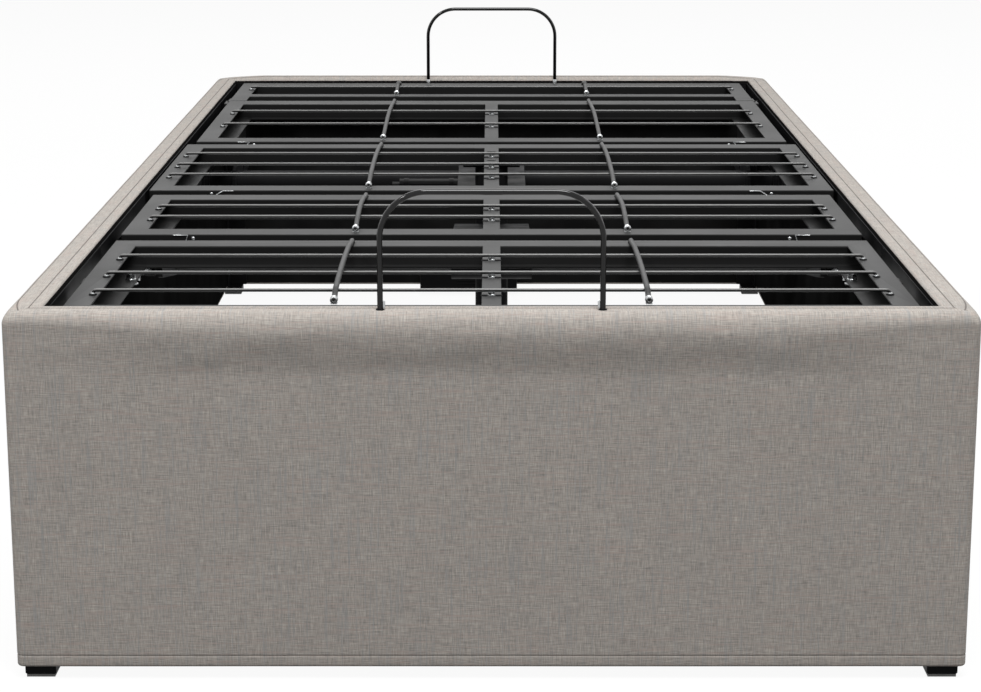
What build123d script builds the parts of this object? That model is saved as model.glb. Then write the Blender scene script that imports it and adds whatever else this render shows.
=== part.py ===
"""Upholstered adjustable bed frame: a fabric box with a five-part steel wire deck inside."""
import os
from collections import namedtuple
from math import cos, radians, sin, tan

from build123d import *

# X runs across the bed, +Y towards the head end and +Z up. The origin is on the floor,
# under the middle of the box. Lengths are in millimetres and angles in degrees.

# Upholstered box
rim_width = 40.0
rim_height = 423.0
floor_gap = 15.0
cover_thickness = 3.0
board_thickness = 12.0
rim_rail_thickness = 15.0
rim_outer_radius = 12.0
rim_inner_radius = 2.5
roll_bulge = 2.5
roll_height = 58.0
stiffener_thickness = 5.0
stiffener_base = 60.0

# Deck, along the bed from the foot end
foot_clearance = 15.0
calf_length = 397.0
knee_gap = 41.0
thigh_length = 304.0
thigh_gap = 38.0
seat_length = 444.0
back_gap = 30.0
back_length = 507.3
head_gap = 3.4
head_length = 257.3
head_clearance = 13.0

# Deck, across the bed
seat_width = 976.0
seat_clearance = 7.0
deck_inset = 11.0
rail_flange = 30.0
rail_foot_flange = 44.0
spine_width = 22.5

# Deck, upwards
deck_below_rim = 5.0
frame_depth = 27.0
sheet = 2.5
bar_lip = 8.0

# Cross bars, as wide along the bed, and the setback of the head section's near bar
calf_near_bar = 40.0
calf_far_bar = 38.0
thigh_near_bar = 40.0
thigh_far_bar = 40.0
seat_near_bar = 41.0
seat_far_bar = 39.0
back_near_bar = 41.0
back_far_bar = 48.0
head_near_bar = 33.0
head_far_bar = 38.0
head_bar_setback = 58.3

# Wires across the deck, as shares of each section's length from its foot side
wire_diameter = 4.0
wire_lift = 3.5
wire_sides = 8
wire_end_length = 9.0
wire_end_width = 8.0
wire_tab_width = 4.0
wire_tab_drop = 4.0
slot_clearance = 0.3
wire_inset = 24.0
seat_wire_inset = 14.0
calf_wire_shares = (0.164, 0.418, 0.680)
thigh_wire_shares = (0.332, 0.602)
seat_wire_shares = (0.248, 0.468, 0.703)
back_wire_shares = (0.335, 0.647)
head_wire_shares = (0.604,)

# Rods along the deck, over the wires
rod_diameter = 6.5
rod_spread = 176.0
rod_hook_inset = 16.0
rod_hook_drop = 6.0
rod_bend_radius = 8.0
rod_sides = 8
rod_crown = 2.5
rod_slope_run = 30.0
rod_tail_rise = 4.8
ferrule_diameter = 11.5
ferrule_sides = 8
ferrule_length = 12.0
ferrule_collar_diameter = 13.5
ferrule_collar_length = 3.0
ferrule_foot_width = 9.0

# Wire clips and the oval holes in the seat's spine
clip_width = 14.0
clip_length = 9.0
clip_wall = 1.6
spine_hole_length = 15.0
spine_hole_width = 7.0
spine_hole_corner = 2.2
spine_hole_shares = (0.151, 0.412, 0.646, 0.892)

# Hinges between the sections
hinge_drop = 20.0
hinge_inset = 86.0
ear_thickness = 4.0
ear_gap = 0.5
ear_radius = 12.0
ear_sides = 8
hinge_pin_diameter = 8.0
pin_sides = 16
pin_head_diameter = 15.0
pin_head_sides = 6
pin_head_height = 3.0
running_clearance = 0.05

# Head section's hinge, outside the side rails
head_hinge_drop = 6.5
head_plate_radius = 6.0
head_plate_thickness = 3.0
head_plate_length = 34.0
head_plate_depth = 16.0
head_plate_gap = 0.3
head_pin_diameter = 6.0

# Chassis rails along the side walls
link_space = 14.0
rail_drop = 11.0
rail_height = 60.0
rail_sheet = 3.0
post_width = 35.0
post_thickness = 3.0

# Lift arms and the sloping rails they run under
lift_slope_angle = 9.0
roller_radius = 10.0
roller_width = 14.0
roller_gap = 0.3
roller_hub_radius = 5.3
lift_web = 3.0
lift_cheek = 2.5
lift_lip = 4.0
lift_end_margin = 14.0
arm_inset = 37.0
arm_thickness = 6.0
arm_gap = 1.5
arm_hub_radius = 23.0
arm_tip_radius = 12.0
arm_hole_radius = 7.0
arm_sides = 16
roller_pin_diameter = 8.0
tube_diameter = 32.0
tube_wall = 3.0
tube_end_gap = 3.0
back_arm_length = 225.0
back_arm_angle = 10.5
thigh_arm_length = 130.0
thigh_arm_angle = 14.0

# Bearings of the torsion tubes
bearing_flange = 4.0
bearing_width = 56.0
bearing_boss_diameter = 48.0
bearing_boss_length = 8.0
bush_wall = 3.0

# Links that keep the calf section level
link_thickness = 5.0
link_height = 24.0
link_drop = 60.0
link_setback = 260.0
link_bracket_width = 30.0
link_plate_thickness = 3.5
link_gap = 0.4

# Drives on the torsion tubes
drive_width = 110.0
drive_nose_radius = 29.0
drive_bore_clearance = 0.4
drive_fillet = 5.0
drive_tail_height = 52.0
drive_tail_top = 44.0
leg_drive_length = 288.0
leg_drive_tail_drop = 4.0
back_drive_tail_drop = 4.0
motor_diameter = 52.0
motor_length = 96.0
motor_back_set = 70.0
motor_cap_length = 12.0
round_sides = 24
hanger_width = 40.0
hanger_thickness = 3.0
saddle_width = 44.0
saddle_height = 40.0
saddle_gap = 8.0

# Centre leg, feet and glides
leg_diameter = 52.0
leg_wall = 2.0
leg_plate_thickness = 4.0
leg_plate_width = 90.0
leg_plug_height = 22.0
leg_glide_diameter = 60.0
foot_width = 35.0
foot_inset = 8.0
glide_height = 3.0
glide_inset = 1.5

# Seat brackets
seat_bracket_length = 40.0
seat_bracket_height = 74.0
seat_bracket_top = 4.0
seat_bracket_shares = (0.12, 0.47, 0.88)

# Mattress retainer bars
retainer_diameter = 6.3
retainer_width = 250.0
retainer_height = 151.0
retainer_radius = 52.0
retainer_depth = 17.0
retainer_inset = 17.0
retainer_fit = 0.3
retainer_sides = 8
retainer_bend_steps = 7
head_retainer_rise = 6.6
head_collar_wall = 1.1
head_collar_height = 13.0
foot_tab_width = 6.0
foot_tab_height = 11.0
foot_tab_thickness = 3.0

# Control box low on the head end's board
box_unit_width = 190.0
box_unit_depth = 48.0
box_unit_height = 62.0
box_unit_floor_gap = 10.0
box_unit_offset = 45.0
box_unit_fillet = 6.0
box_unit_lid = 9.0
box_unit_lid_margin = 5.0

overrun = 5.0

# Sizes worked out from the ones above
box_width = seat_width + 2 * (seat_clearance + rim_width)
deck_length = (calf_length + knee_gap + thigh_length + thigh_gap + seat_length
               + back_gap + back_length + head_gap + head_length)
box_length = 2 * rim_width + foot_clearance + deck_length + head_clearance
panel_inner = cover_thickness + board_thickness
rim_rail_base = rim_height - cover_thickness - rim_rail_thickness
deck_top = rim_height - deck_below_rim
deck_base = deck_top - frame_depth
seat_half = seat_width / 2
deck_half = seat_half - deck_inset
rail_inner = deck_half + link_space
rail_outer = box_width / 2 - panel_inner - stiffener_thickness
rail_top = deck_base - rail_drop
rail_base = rail_top - rail_height
hinge_z = deck_top - hinge_drop
hinge_spread = deck_half - hinge_inset

calf_start = -box_length / 2 + rim_width + foot_clearance
thigh_start = calf_start + calf_length + knee_gap
seat_start = thigh_start + thigh_length + thigh_gap
back_start = seat_start + seat_length + back_gap
head_start = back_start + back_length + head_gap
deck_end = head_start + head_length
knee_y = thigh_start - knee_gap / 2
thigh_hinge_y = seat_start - thigh_gap / 2
back_hinge_y = back_start - back_gap / 2
head_hinge_y = head_start - head_gap / 2
head_hinge_z = deck_top - head_hinge_drop

retainer_leg_x = (retainer_width - retainer_diameter) / 2
foot_retainer_y = -box_length / 2 + retainer_inset
foot_retainer_base = rim_height - retainer_depth
head_retainer_base = rim_rail_base + head_retainer_rise
head_retainer_y = (box_length / 2 - rim_width - retainer_diameter / 2 - head_collar_wall
                   - retainer_fit)

wire_z = deck_top + wire_lift + wire_diameter / 2
wire_room = wire_diameter / 2 + running_clearance
rod_z = wire_z + (wire_diameter + rod_diameter) / 2 + running_clearance

Section = namedtuple(
    "Section", "start length half near_bar far_bar setback spine wires wire_inset"
)
calf = Section(calf_start, calf_length, deck_half, calf_near_bar, calf_far_bar, 0, True,
               calf_wire_shares, wire_inset)
thigh = Section(thigh_start, thigh_length, deck_half, thigh_near_bar, thigh_far_bar, 0, True,
                thigh_wire_shares, wire_inset)
seat = Section(seat_start, seat_length, seat_half, seat_near_bar, seat_far_bar, 0, True,
               seat_wire_shares, seat_wire_inset)
back = Section(back_start, back_length, deck_half, back_near_bar, back_far_bar, 0, True,
               back_wire_shares, wire_inset)
head = Section(head_start, head_length, deck_half, head_near_bar, head_far_bar, head_bar_setback,
               False, head_wire_shares, wire_inset)

# A lift arm is as long as its pivot is far from the section's hinge. Hinge, pivot and
# roller then stand on an isosceles triangle, and the arm turns twice the section's tilt.
Lift = namedtuple("Lift", "hinge_y toward arm_length rest_angle")
back_lift = Lift(back_hinge_y, 1, back_arm_length, back_arm_angle)
leg_lift = Lift(thigh_hinge_y, -1, thigh_arm_length, thigh_arm_angle)


def lift_place(lift, out, up):
    """Turn a distance out from the hinge and a height over it into Y and Z."""
    return (lift.hinge_y + lift.toward * out, hinge_z + up)


def arm_pivot(lift):
    angle = radians(lift_slope_angle + lift.rest_angle)
    return lift_place(lift, lift.arm_length * cos(angle), -lift.arm_length * sin(angle))


def roller_reach(lift):
    return 2 * lift.arm_length * cos(radians(lift.rest_angle))


def roller_place(lift):
    reach = roller_reach(lift)
    slope = radians(lift_slope_angle)
    return lift_place(lift, reach * cos(slope), -reach * sin(slope))


def save(piece, name):
    piece.part.label = name
    export_step(piece.part, os.path.join("parts", name + ".step"))


def block(x_range, y_range, z_range, mode=Mode.ADD):
    """Add or cut a rectangular bar that spans three ranges."""
    with BuildSketch(Plane.XY.offset(z_range[0])) as drawn:
        with Locations(((x_range[0] + x_range[1]) / 2, (y_range[0] + y_range[1]) / 2)):
            Rectangle(x_range[1] - x_range[0], y_range[1] - y_range[0])
    extrude(drawn.sketch, amount=z_range[1] - z_range[0], mode=mode)


def cross_pin(x_start, x_end, place, radius, mode=Mode.ADD):
    """Add or cut a cylinder that runs across the bed."""
    with BuildSketch(Plane.YZ.offset(x_start)) as drawn:
        with Locations(place):
            Circle(radius)
    extrude(drawn.sketch, amount=x_end - x_start, mode=mode)


def polygon(radius, sides, around=True, mode=Mode.ADD):
    """Draw a regular polygon with a flat side up, round a circle or inside it."""
    RegularPolygon(radius, sides, major_radius=not around, rotation=180 / sides, mode=mode)


def cross_prism(x_start, x_end, place, radius, sides, mode=Mode.ADD, around=True):
    """Add or cut a regular prism that runs across the bed, such as a bolt's head."""
    with BuildSketch(Plane.YZ.offset(x_start)) as drawn:
        with Locations(place):
            polygon(radius, sides, around)
    extrude(drawn.sketch, amount=x_end - x_start, mode=mode)


def bend_cut(radius):
    """Give how far from a square corner two bends of 45 degrees start, for a bend's radius."""
    return radius * (1 - tan(radians(90 / 4)))


def bent_bar(route, radius, sides):
    """Add a bar that follows straight runs, with flat facets."""
    with BuildLine() as path:
        Polyline(*route)
    with BuildSketch(Plane.XY.offset(route[0][2])) as drawn:
        with Locations(route[0][:2]):
            polygon(radius, sides, around=False)
    sweep(drawn.sketch, path=path.wires()[0], transition=Transition.RIGHT)


def both_sides(x_from, x_to):
    """Give the same stretch of X on the right and on the left, each from low to high."""
    return ((x_from, x_to), (-x_to, -x_from))


os.makedirs("parts", exist_ok=True)

# Walls of the box. Each wall has its middle on the outer face and its inward direction.
walls = {
    "foot": (Vector(0, -box_length / 2, 0), Vector(0, 1, 0), box_width / 2),
    "head": (Vector(0, box_length / 2, 0), Vector(0, -1, 0), box_width / 2),
    "left": (Vector(-box_width / 2, 0, 0), Vector(1, 0, 0), box_length / 2),
    "right": (Vector(box_width / 2, 0, 0), Vector(-1, 0, 0), box_length / 2),
}
upward = Vector(0, 0, 1)


def wall_section(wall):
    place, inward, _ = walls[wall]
    return Plane(origin=place, x_dir=inward, z_dir=inward.cross(upward))


def mitre(wall):
    """Cut what has been made so far to the wall's share of the box, mitred at both corners."""
    place, inward, half = walls[wall]
    with BuildSketch(Plane(origin=place, x_dir=inward.cross(upward), z_dir=upward)) as drawn:
        with BuildLine():
            Polyline(
                (-half - overrun, -overrun), (half + overrun, -overrun),
                (half - rim_width - overrun, rim_width + overrun),
                (-half + rim_width + overrun, rim_width + overrun), close=True,
            )
        make_face()
    extrude(drawn.sketch, amount=rim_height + overrun, mode=Mode.INTERSECT)


def board_section(inner, base, top, mode=Mode.ADD):
    """Draw a board from under the cover to a distance inside the wall's outer face."""
    with Locations(((cover_thickness + inner) / 2, (base + top) / 2)):
        Rectangle(inner - cover_thickness, top - base, mode=mode)


def panel(wall):
    with BuildPart() as piece:
        with BuildSketch(wall_section(wall)):
            board_section(panel_inner, floor_gap + cover_thickness, rim_rail_base)
        extrude(amount=walls[wall][2], both=True)
        mitre(wall)
    return piece.part


def rim_rail(wall):
    with BuildPart() as piece:
        with BuildSketch(wall_section(wall)):
            board_section(rim_width - cover_thickness, rim_rail_base, rim_height - cover_thickness)
        extrude(amount=walls[wall][2], both=True)
        mitre(wall)
    return piece.part


def cover(wall):
    """Fabric over foam: down the outside, over the rim and round the panel's lower edge."""
    shoulder = rim_height - rim_outer_radius
    with BuildPart() as piece:
        with BuildSketch(wall_section(wall)):
            with BuildLine():
                outer = Line((0, floor_gap), (0, rim_height - roll_height))
                outer = Spline(outer @ 1, (-roll_bulge, shoulder), tangents=((0, 1), (0, 1)))
                top = JernArc(outer @ 1, (0, 1), rim_outer_radius, -90)
                edge = Line(top @ 1, (rim_width - rim_inner_radius, rim_height))
                lip = JernArc(edge @ 1, (1, 0), rim_inner_radius, -90)
                Polyline(lip @ 1, (rim_width, rim_rail_base), (panel_inner, rim_rail_base),
                         (panel_inner, floor_gap), (0, floor_gap))
            make_face()
            board_section(panel_inner, floor_gap + cover_thickness, rim_rail_base, Mode.SUBTRACT)
            board_section(rim_width - cover_thickness, rim_rail_base,
                          rim_height - cover_thickness, Mode.SUBTRACT)
        extrude(amount=walls[wall][2], both=True)
        mitre(wall)
        if wall == "foot":
            retainer_holes()
    return piece.part


def retainer_holes():
    with BuildSketch(Plane.XY.offset(rim_height + overrun)) as drawn:
        with Locations(*[(side * retainer_leg_x, foot_retainer_y) for side in (-1, 1)]):
            polygon(retainer_diameter / 2 + retainer_fit, retainer_sides)
    extrude(drawn.sketch, amount=-rim_height, mode=Mode.SUBTRACT)


with BuildPart() as foot_panel:
    add(panel("foot"))
save(foot_panel, "foot_panel")

with BuildPart() as head_panel:
    add(panel("head"))
save(head_panel, "head_panel")

with BuildPart() as side_panels:
    add(panel("left"))
    add(panel("right"))
save(side_panels, "side_panels")

with BuildPart() as end_rim_rails:
    add(rim_rail("foot"))
    retainer_holes()
    add(rim_rail("head"))
save(end_rim_rails, "end_rim_rails")

with BuildPart() as side_rim_rails:
    add(rim_rail("left"))
    add(rim_rail("right"))
save(side_rim_rails, "side_rim_rails")

with BuildPart() as foot_cover:
    add(cover("foot"))
save(foot_cover, "foot_cover")

with BuildPart() as head_cover:
    add(cover("head"))
save(head_cover, "head_cover")

with BuildPart() as left_cover:
    add(cover("left"))
save(left_cover, "left_cover")

with BuildPart() as right_cover:
    add(cover("right"))
save(right_cover, "right_cover")

# Corner posts are steel angles, on feet that stand under the cover's lower edge
corners = [(across, along) for across in (-1, 1) for along in (-1, 1)]
post_x = box_width / 2 - panel_inner
post_y = box_length / 2 - panel_inner


def corner_range(outer, depth, side):
    """Give a stretch that reaches inwards from a corner's outer place."""
    ends = (side * outer, side * (outer - depth))
    return (min(ends), max(ends))


with BuildPart() as corner_posts:
    for across, along in corners:
        block(corner_range(post_x, post_width, across), corner_range(post_y, post_thickness, along),
              (floor_gap, rim_rail_base))
        block(corner_range(post_x, post_thickness, across), corner_range(post_y, post_width, along),
              (floor_gap, rim_rail_base))
save(corner_posts, "corner_posts")

foot_x = box_width / 2 - foot_inset
foot_y = box_length / 2 - foot_inset
with BuildPart() as feet:
    for across, along in corners:
        block(corner_range(foot_x, foot_width, across), corner_range(foot_y, foot_width, along),
              (glide_height, floor_gap))
    bevelled = feet.edges().group_by(Axis.Z)[0]
    chamfer(bevelled, glide_inset)
save(feet, "feet")

leg_y = seat_start + seat_length - seat_far_bar / 2
with BuildPart() as glides:
    glide_size = foot_width - 2 * glide_inset
    for across, along in corners:
        block(corner_range(foot_x - glide_inset, glide_size, across),
              corner_range(foot_y - glide_inset, glide_size, along), (0, glide_height))
    with BuildSketch():
        with Locations((0, leg_y)):
            polygon(leg_glide_diameter / 2, round_sides)
    extrude(amount=leg_plug_height / 2)
    with BuildSketch(Plane.XY.offset(leg_plug_height / 2)):
        with Locations((0, leg_y)):
            polygon(leg_diameter / 2 - leg_wall, round_sides)
    extrude(amount=leg_plug_height / 2)
save(glides, "glides")

# Boards that stiffen the side walls behind the seat and thigh sections
with BuildPart() as side_stiffeners:
    for x_range in both_sides(rail_outer, box_width / 2 - panel_inner):
        block(x_range, (thigh_start + thigh_length / 2, back_start), (stiffener_base, rim_rail_base))
save(side_stiffeners, "side_stiffeners")

# Chassis rails are channels, open towards the walls, from post to post
rail_end = post_y - post_thickness
with BuildPart() as chassis_rails:
    for x_range in both_sides(rail_inner, rail_outer):
        block(x_range, (-rail_end, rail_end), (rail_base, rail_top))
    for x_range in both_sides(rail_inner + rail_sheet, rail_outer + overrun):
        block(x_range, (-rail_end - overrun, rail_end + overrun),
              (rail_base + rail_sheet, rail_top - rail_sheet), Mode.SUBTRACT)
save(chassis_rails, "chassis_rails")


def inner_edges(section):
    """Give the Y of the near and far bars' faces inside the section."""
    near = section.start + section.setback + section.near_bar
    return near, section.start + section.length - section.far_bar


def plan_areas(section, x_ranges, y_range):
    """Draw rectangles, in the current sketch, that share one stretch of Y."""
    for low, high in x_ranges:
        with Locations(((low + high) / 2, (y_range[0] + y_range[1]) / 2)):
            Rectangle(high - low, y_range[1] - y_range[0])


def pressed_frame(section):
    """Add a section's frame: channel side rails, hat-shaped cross bars and a spine."""
    near, far = inner_edges(section)
    end = section.start + section.length
    bar_start = section.start + section.setback
    whole = ((-section.half, section.half),)
    between = ((sheet - section.half, section.half - sheet),)
    spine_half = spine_width / 2
    with BuildSketch(Plane.XY.offset(deck_top - sheet)) as drawn:
        plan_areas(section, both_sides(section.half - rail_flange, section.half), (section.start, end))
        plan_areas(section, whole, (bar_start, near))
        plan_areas(section, whole, (far, end))
        if section.spine:
            plan_areas(section, ((-spine_half, spine_half),), (near, far))
        for share in section.wires:
            hole_x = section.half - section.wire_inset
            hole = wire_tab_width + 2 * slot_clearance
            with Locations(*[(side * hole_x, section.start + share * section.length) for side in (-1, 1)]):
                Rectangle(hole, hole, mode=Mode.SUBTRACT)
        hole = rod_diameter + 2 * slot_clearance
        with Locations(*[(side * rod_spread, end - rod_hook_inset) for side in (-1, 1)]):
            Rectangle(hole, hole, mode=Mode.SUBTRACT)
    extrude(drawn.sketch, amount=sheet)
    with BuildSketch(Plane.XY.offset(deck_base)) as drawn:
        plan_areas(section, both_sides(section.half - sheet, section.half), (section.start, end))
        for face in (bar_start, near - sheet, far, end - sheet):
            plan_areas(section, between, (face, face + sheet))
        if section.spine:
            plan_areas(section, both_sides(spine_half - sheet, spine_half), (near, far))
    extrude(drawn.sketch, amount=frame_depth)
    with BuildSketch(Plane.XY.offset(deck_base)) as drawn:
        plan_areas(section, both_sides(section.half - rail_foot_flange, section.half),
                   (section.start, end))
        plan_areas(section, between, (near, near + bar_lip))
        plan_areas(section, between, (far - bar_lip, far))
    extrude(drawn.sketch, amount=sheet)


def hinge_ears(hinge_y, bar_face, stations, bore):
    """Add a pair of ears that reach from a cross bar to the hinge pin, with a bore or a fixed pin's hole."""
    for low, high in stations:
        with BuildSketch(Plane.YZ.offset(low)) as drawn:
            with Locations((hinge_y, hinge_z)):
                polygon(ear_radius, ear_sides)
            with Locations(((hinge_y + bar_face) / 2, hinge_z)):
                Rectangle(abs(bar_face - hinge_y), 2 * ear_radius)
            with Locations((hinge_y, hinge_z)):
                if bore:
                    Circle(turning_hole, mode=Mode.SUBTRACT)
                else:
                    polygon(fixed_hole, ear_sides, mode=Mode.SUBTRACT)
        extrude(drawn.sketch, amount=high - low)


fixed_ears = both_sides(hinge_spread, hinge_spread + ear_thickness)
turning_ears = both_sides(hinge_spread + ear_thickness + ear_gap,
                          hinge_spread + 2 * ear_thickness + ear_gap)
fixed_hole = hinge_pin_diameter / 2
turning_hole = hinge_pin_diameter / 2 + running_clearance


def hinge_pins(hinge_y):
    """Add the two bolts of a hinge line, each with a head outside both ears."""
    grip = 2 * ear_thickness + ear_gap + 2 * running_clearance
    for head_low, sign in ((hinge_spread - running_clearance, 1), (-hinge_spread + running_clearance, -1)):
        ends = sorted((head_low, head_low + sign * grip))
        cross_prism(ends[0], ends[1], (hinge_y, hinge_z), fixed_hole, pin_sides, around=False)
        for low in (ends[0] - pin_head_height, ends[1]):
            cross_prism(low, low + pin_head_height, (hinge_y, hinge_z), pin_head_diameter / 2, pin_head_sides)


def section_wires(section):
    """Add the straight cross wires, from end fitting to end fitting."""
    reach = section.half - section.wire_inset
    for share in section.wires:
        place = section.start + share * section.length
        cross_prism(-reach, reach, (place, wire_z), wire_diameter / 2, wire_sides, around=False)


def wire_ends(section):
    """Add the fittings that grip the wires' ends, each with a tab through a slot in the side rail."""
    reach = section.half - section.wire_inset
    top = wire_z + wire_diameter / 2 + clip_wall
    for share in section.wires:
        place = section.start + share * section.length
        for x_range in both_sides(reach - wire_end_length / 2, reach + wire_end_length / 2):
            block(x_range, (place - wire_end_width / 2, place + wire_end_width / 2), (deck_top, top))
        for x_range in both_sides(reach - wire_tab_width / 2, reach + wire_tab_width / 2):
            block(x_range, (place - wire_tab_width / 2, place + wire_tab_width / 2),
                  (deck_top - wire_tab_drop, deck_top))
        block((-reach, reach), (place - wire_room, place + wire_room),
              (wire_z - wire_room, wire_z + wire_room), Mode.SUBTRACT)


def rod_route(section, side):
    """List the corners of a rod's path, from its hook at the far bar to the near bar."""
    across = side * rod_spread
    hook_y = section.start + section.length - rod_hook_inset
    tail_y = rod_tail(section)
    slope_y = tail_y + ferrule_length + rod_slope_run
    span = hook_y - slope_y
    tail_z = deck_top + rod_tail_rise
    cut = bend_cut(rod_bend_radius)
    return [
        (across, hook_y, deck_top - rod_hook_drop),
        (across, hook_y, rod_z - cut),
        (across, hook_y - cut, rod_z),
        (across, hook_y - span / 3, rod_z + rod_crown),
        (across, slope_y + span / 3, rod_z + rod_crown),
        (across, slope_y, rod_z),
        (across, tail_y + ferrule_length, tail_z),
        (across, tail_y - ferrule_length / 2, tail_z),
    ]


def rod_tail(section):
    return section.start + section.setback + section.near_bar / 2


def section_rods(section):
    """Add the two rods that run along a section, hooked at the far bar."""
    for side in (-1, 1):
        bent_bar(rod_route(section, side), rod_diameter / 2, rod_sides)


def ferrules(section):
    """Add the bright ferrule that holds each rod's near end, on a foot on the near bar."""
    tail_y = rod_tail(section)
    axis_z = deck_top + rod_tail_rise
    for side in (-1, 1):
        across = side * rod_spread
        with BuildSketch(Plane.XZ.offset(-tail_y - ferrule_length / 2)) as drawn:
            with Locations((across, axis_z)):
                polygon(ferrule_diameter / 2, ferrule_sides)
            with Locations((across, (deck_top + axis_z) / 2)):
                Rectangle(ferrule_foot_width, axis_z - deck_top)
        extrude(drawn.sketch, amount=ferrule_length)
        with BuildSketch(Plane.XZ.offset(-tail_y + ferrule_length / 2)) as drawn:
            with Locations((across, axis_z)):
                polygon(ferrule_collar_diameter / 2, ferrule_sides)
        extrude(drawn.sketch, amount=-ferrule_collar_length)
        with BuildSketch(Plane.XZ.offset(-tail_y - ferrule_length)) as drawn:
            with Locations((across, axis_z)):
                polygon(rod_diameter / 2 + running_clearance, rod_sides, around=False)
        extrude(drawn.sketch, amount=2 * ferrule_length, mode=Mode.SUBTRACT)
    block((-section.half, section.half), (tail_y - ferrule_length, tail_y + ferrule_length),
          (deck_base, deck_top), Mode.SUBTRACT)


def wire_clips(section):
    """Add the saddle clips that hold the wires on the spine."""
    top = wire_z + wire_diameter / 2 + clip_wall
    for share in section.wires:
        place = section.start + share * section.length
        block((-clip_width / 2, clip_width / 2), (place - clip_length / 2, place + clip_length / 2),
              (deck_top, top))
        block((-clip_width, clip_width), (place - wire_room, place + wire_room),
              (wire_z - wire_room, wire_z + wire_room), Mode.SUBTRACT)


def save_section_parts(section, name):
    """Write the wires, rods and clips of one section."""
    with BuildPart() as wires:
        section_wires(section)
    save(wires, name + "_wires")
    with BuildPart() as rods:
        section_rods(section)
    save(rods, name + "_rods")
    with BuildPart() as clips:
        ferrules(section)
        wire_ends(section)
        if section.spine:
            wire_clips(section)
    save(clips, name + ("_clips" if section.spine else "_ferrules"))


# Seat section, fixed to the chassis rails
with BuildPart() as seat_frame:
    pressed_frame(seat)
    hinge_ears(thigh_hinge_y, seat_start, fixed_ears, False)
    hinge_ears(back_hinge_y, seat_start + seat_length, fixed_ears, False)
    with BuildSketch(Plane.XY.offset(deck_top - sheet)):
        seat_near, seat_far = inner_edges(seat)
        flat_x = spine_hole_length / 2 - spine_hole_corner
        flat_y = spine_hole_width / 2 - spine_hole_corner
        oval_hole = [(-flat_x, -spine_hole_width / 2), (flat_x, -spine_hole_width / 2),
                     (spine_hole_length / 2, -flat_y), (spine_hole_length / 2, flat_y),
                     (flat_x, spine_hole_width / 2), (-flat_x, spine_hole_width / 2),
                     (-spine_hole_length / 2, flat_y), (-spine_hole_length / 2, -flat_y)]
        with Locations(*[(0, seat_near + share * (seat_far - seat_near)) for share in spine_hole_shares]):
            Polygon(*oval_hole)
    extrude(amount=sheet, mode=Mode.SUBTRACT)
save(seat_frame, "seat_frame")
save_section_parts(seat, "seat")

with BuildPart() as seat_hinge_pins:
    hinge_pins(thigh_hinge_y)
    hinge_pins(back_hinge_y)
save(seat_hinge_pins, "seat_hinge_pins")

with BuildPart() as seat_brackets:
    for share in seat_bracket_shares:
        place = seat_start + share * seat_length
        for x_range in both_sides(seat_half, rail_inner):
            block(x_range, (place - seat_bracket_length / 2, place + seat_bracket_length / 2),
                  (deck_top - seat_bracket_top - seat_bracket_height, deck_top - seat_bracket_top))
save(seat_brackets, "seat_brackets")

# Calf section, with the brackets of its level links
link_z = hinge_z - link_drop
link_anchor_y = thigh_hinge_y - link_setback
link_calf_y = knee_y - link_setback
link_inner = deck_half + link_plate_thickness + link_gap

with BuildPart() as calf_frame:
    pressed_frame(calf)
    hinge_ears(knee_y, calf_start + calf_length, turning_ears, True)
    for low, high in both_sides(deck_half, deck_half + link_plate_thickness):
        with BuildSketch(Plane.YZ.offset(low)):
            with Locations((link_calf_y, link_z)):
                polygon(link_bracket_width / 2, ear_sides)
            with Locations((link_calf_y, (link_z + deck_top - sheet) / 2)):
                Rectangle(link_bracket_width, deck_top - sheet - link_z)
        extrude(amount=high - low)
    stud_end = link_inner + link_thickness + link_gap
    for low, high in both_sides(deck_half, stud_end):
        cross_prism(low, high, (link_calf_y, link_z), hinge_pin_diameter / 2, pin_sides, around=False)
    for low, high in both_sides(stud_end, stud_end + pin_head_height / 2):
        cross_prism(low, high, (link_calf_y, link_z), pin_head_diameter / 2, pin_head_sides)
save(calf_frame, "calf_frame")
save_section_parts(calf, "calf")

# Thigh section
with BuildPart() as thigh_frame:
    pressed_frame(thigh)
    hinge_ears(knee_y, thigh_start, fixed_ears, False)
    hinge_ears(thigh_hinge_y, thigh_start + thigh_length, turning_ears, True)
save(thigh_frame, "thigh_frame")
save_section_parts(thigh, "thigh")

with BuildPart() as knee_pins:
    hinge_pins(knee_y)
save(knee_pins, "knee_pins")


def head_plate(x_range, face_y, toward, bore):
    """Add a plate, flat on the side rail, that ends in an eye on the head hinge."""
    with BuildSketch(Plane.YZ.offset(x_range[0])) as drawn:
        with Locations((head_hinge_y, head_hinge_z)):
            polygon(head_plate_radius, ear_sides)
        with BuildLine():
            Polyline(
                (head_hinge_y, head_hinge_z + head_plate_radius),
                (face_y + toward * head_plate_length, head_hinge_z + head_plate_radius),
                (face_y + toward * head_plate_length, head_hinge_z - head_plate_depth),
                (face_y + toward * head_plate_depth, head_hinge_z - head_plate_depth),
                (head_hinge_y, head_hinge_z - head_plate_radius), close=True,
            )
        make_face()
        with Locations((head_hinge_y, head_hinge_z)):
            if bore:
                Circle(head_pin_diameter / 2 + running_clearance, mode=Mode.SUBTRACT)
            else:
                polygon(head_pin_diameter / 2, ear_sides, mode=Mode.SUBTRACT)
    extrude(drawn.sketch, amount=x_range[1] - x_range[0])


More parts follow.
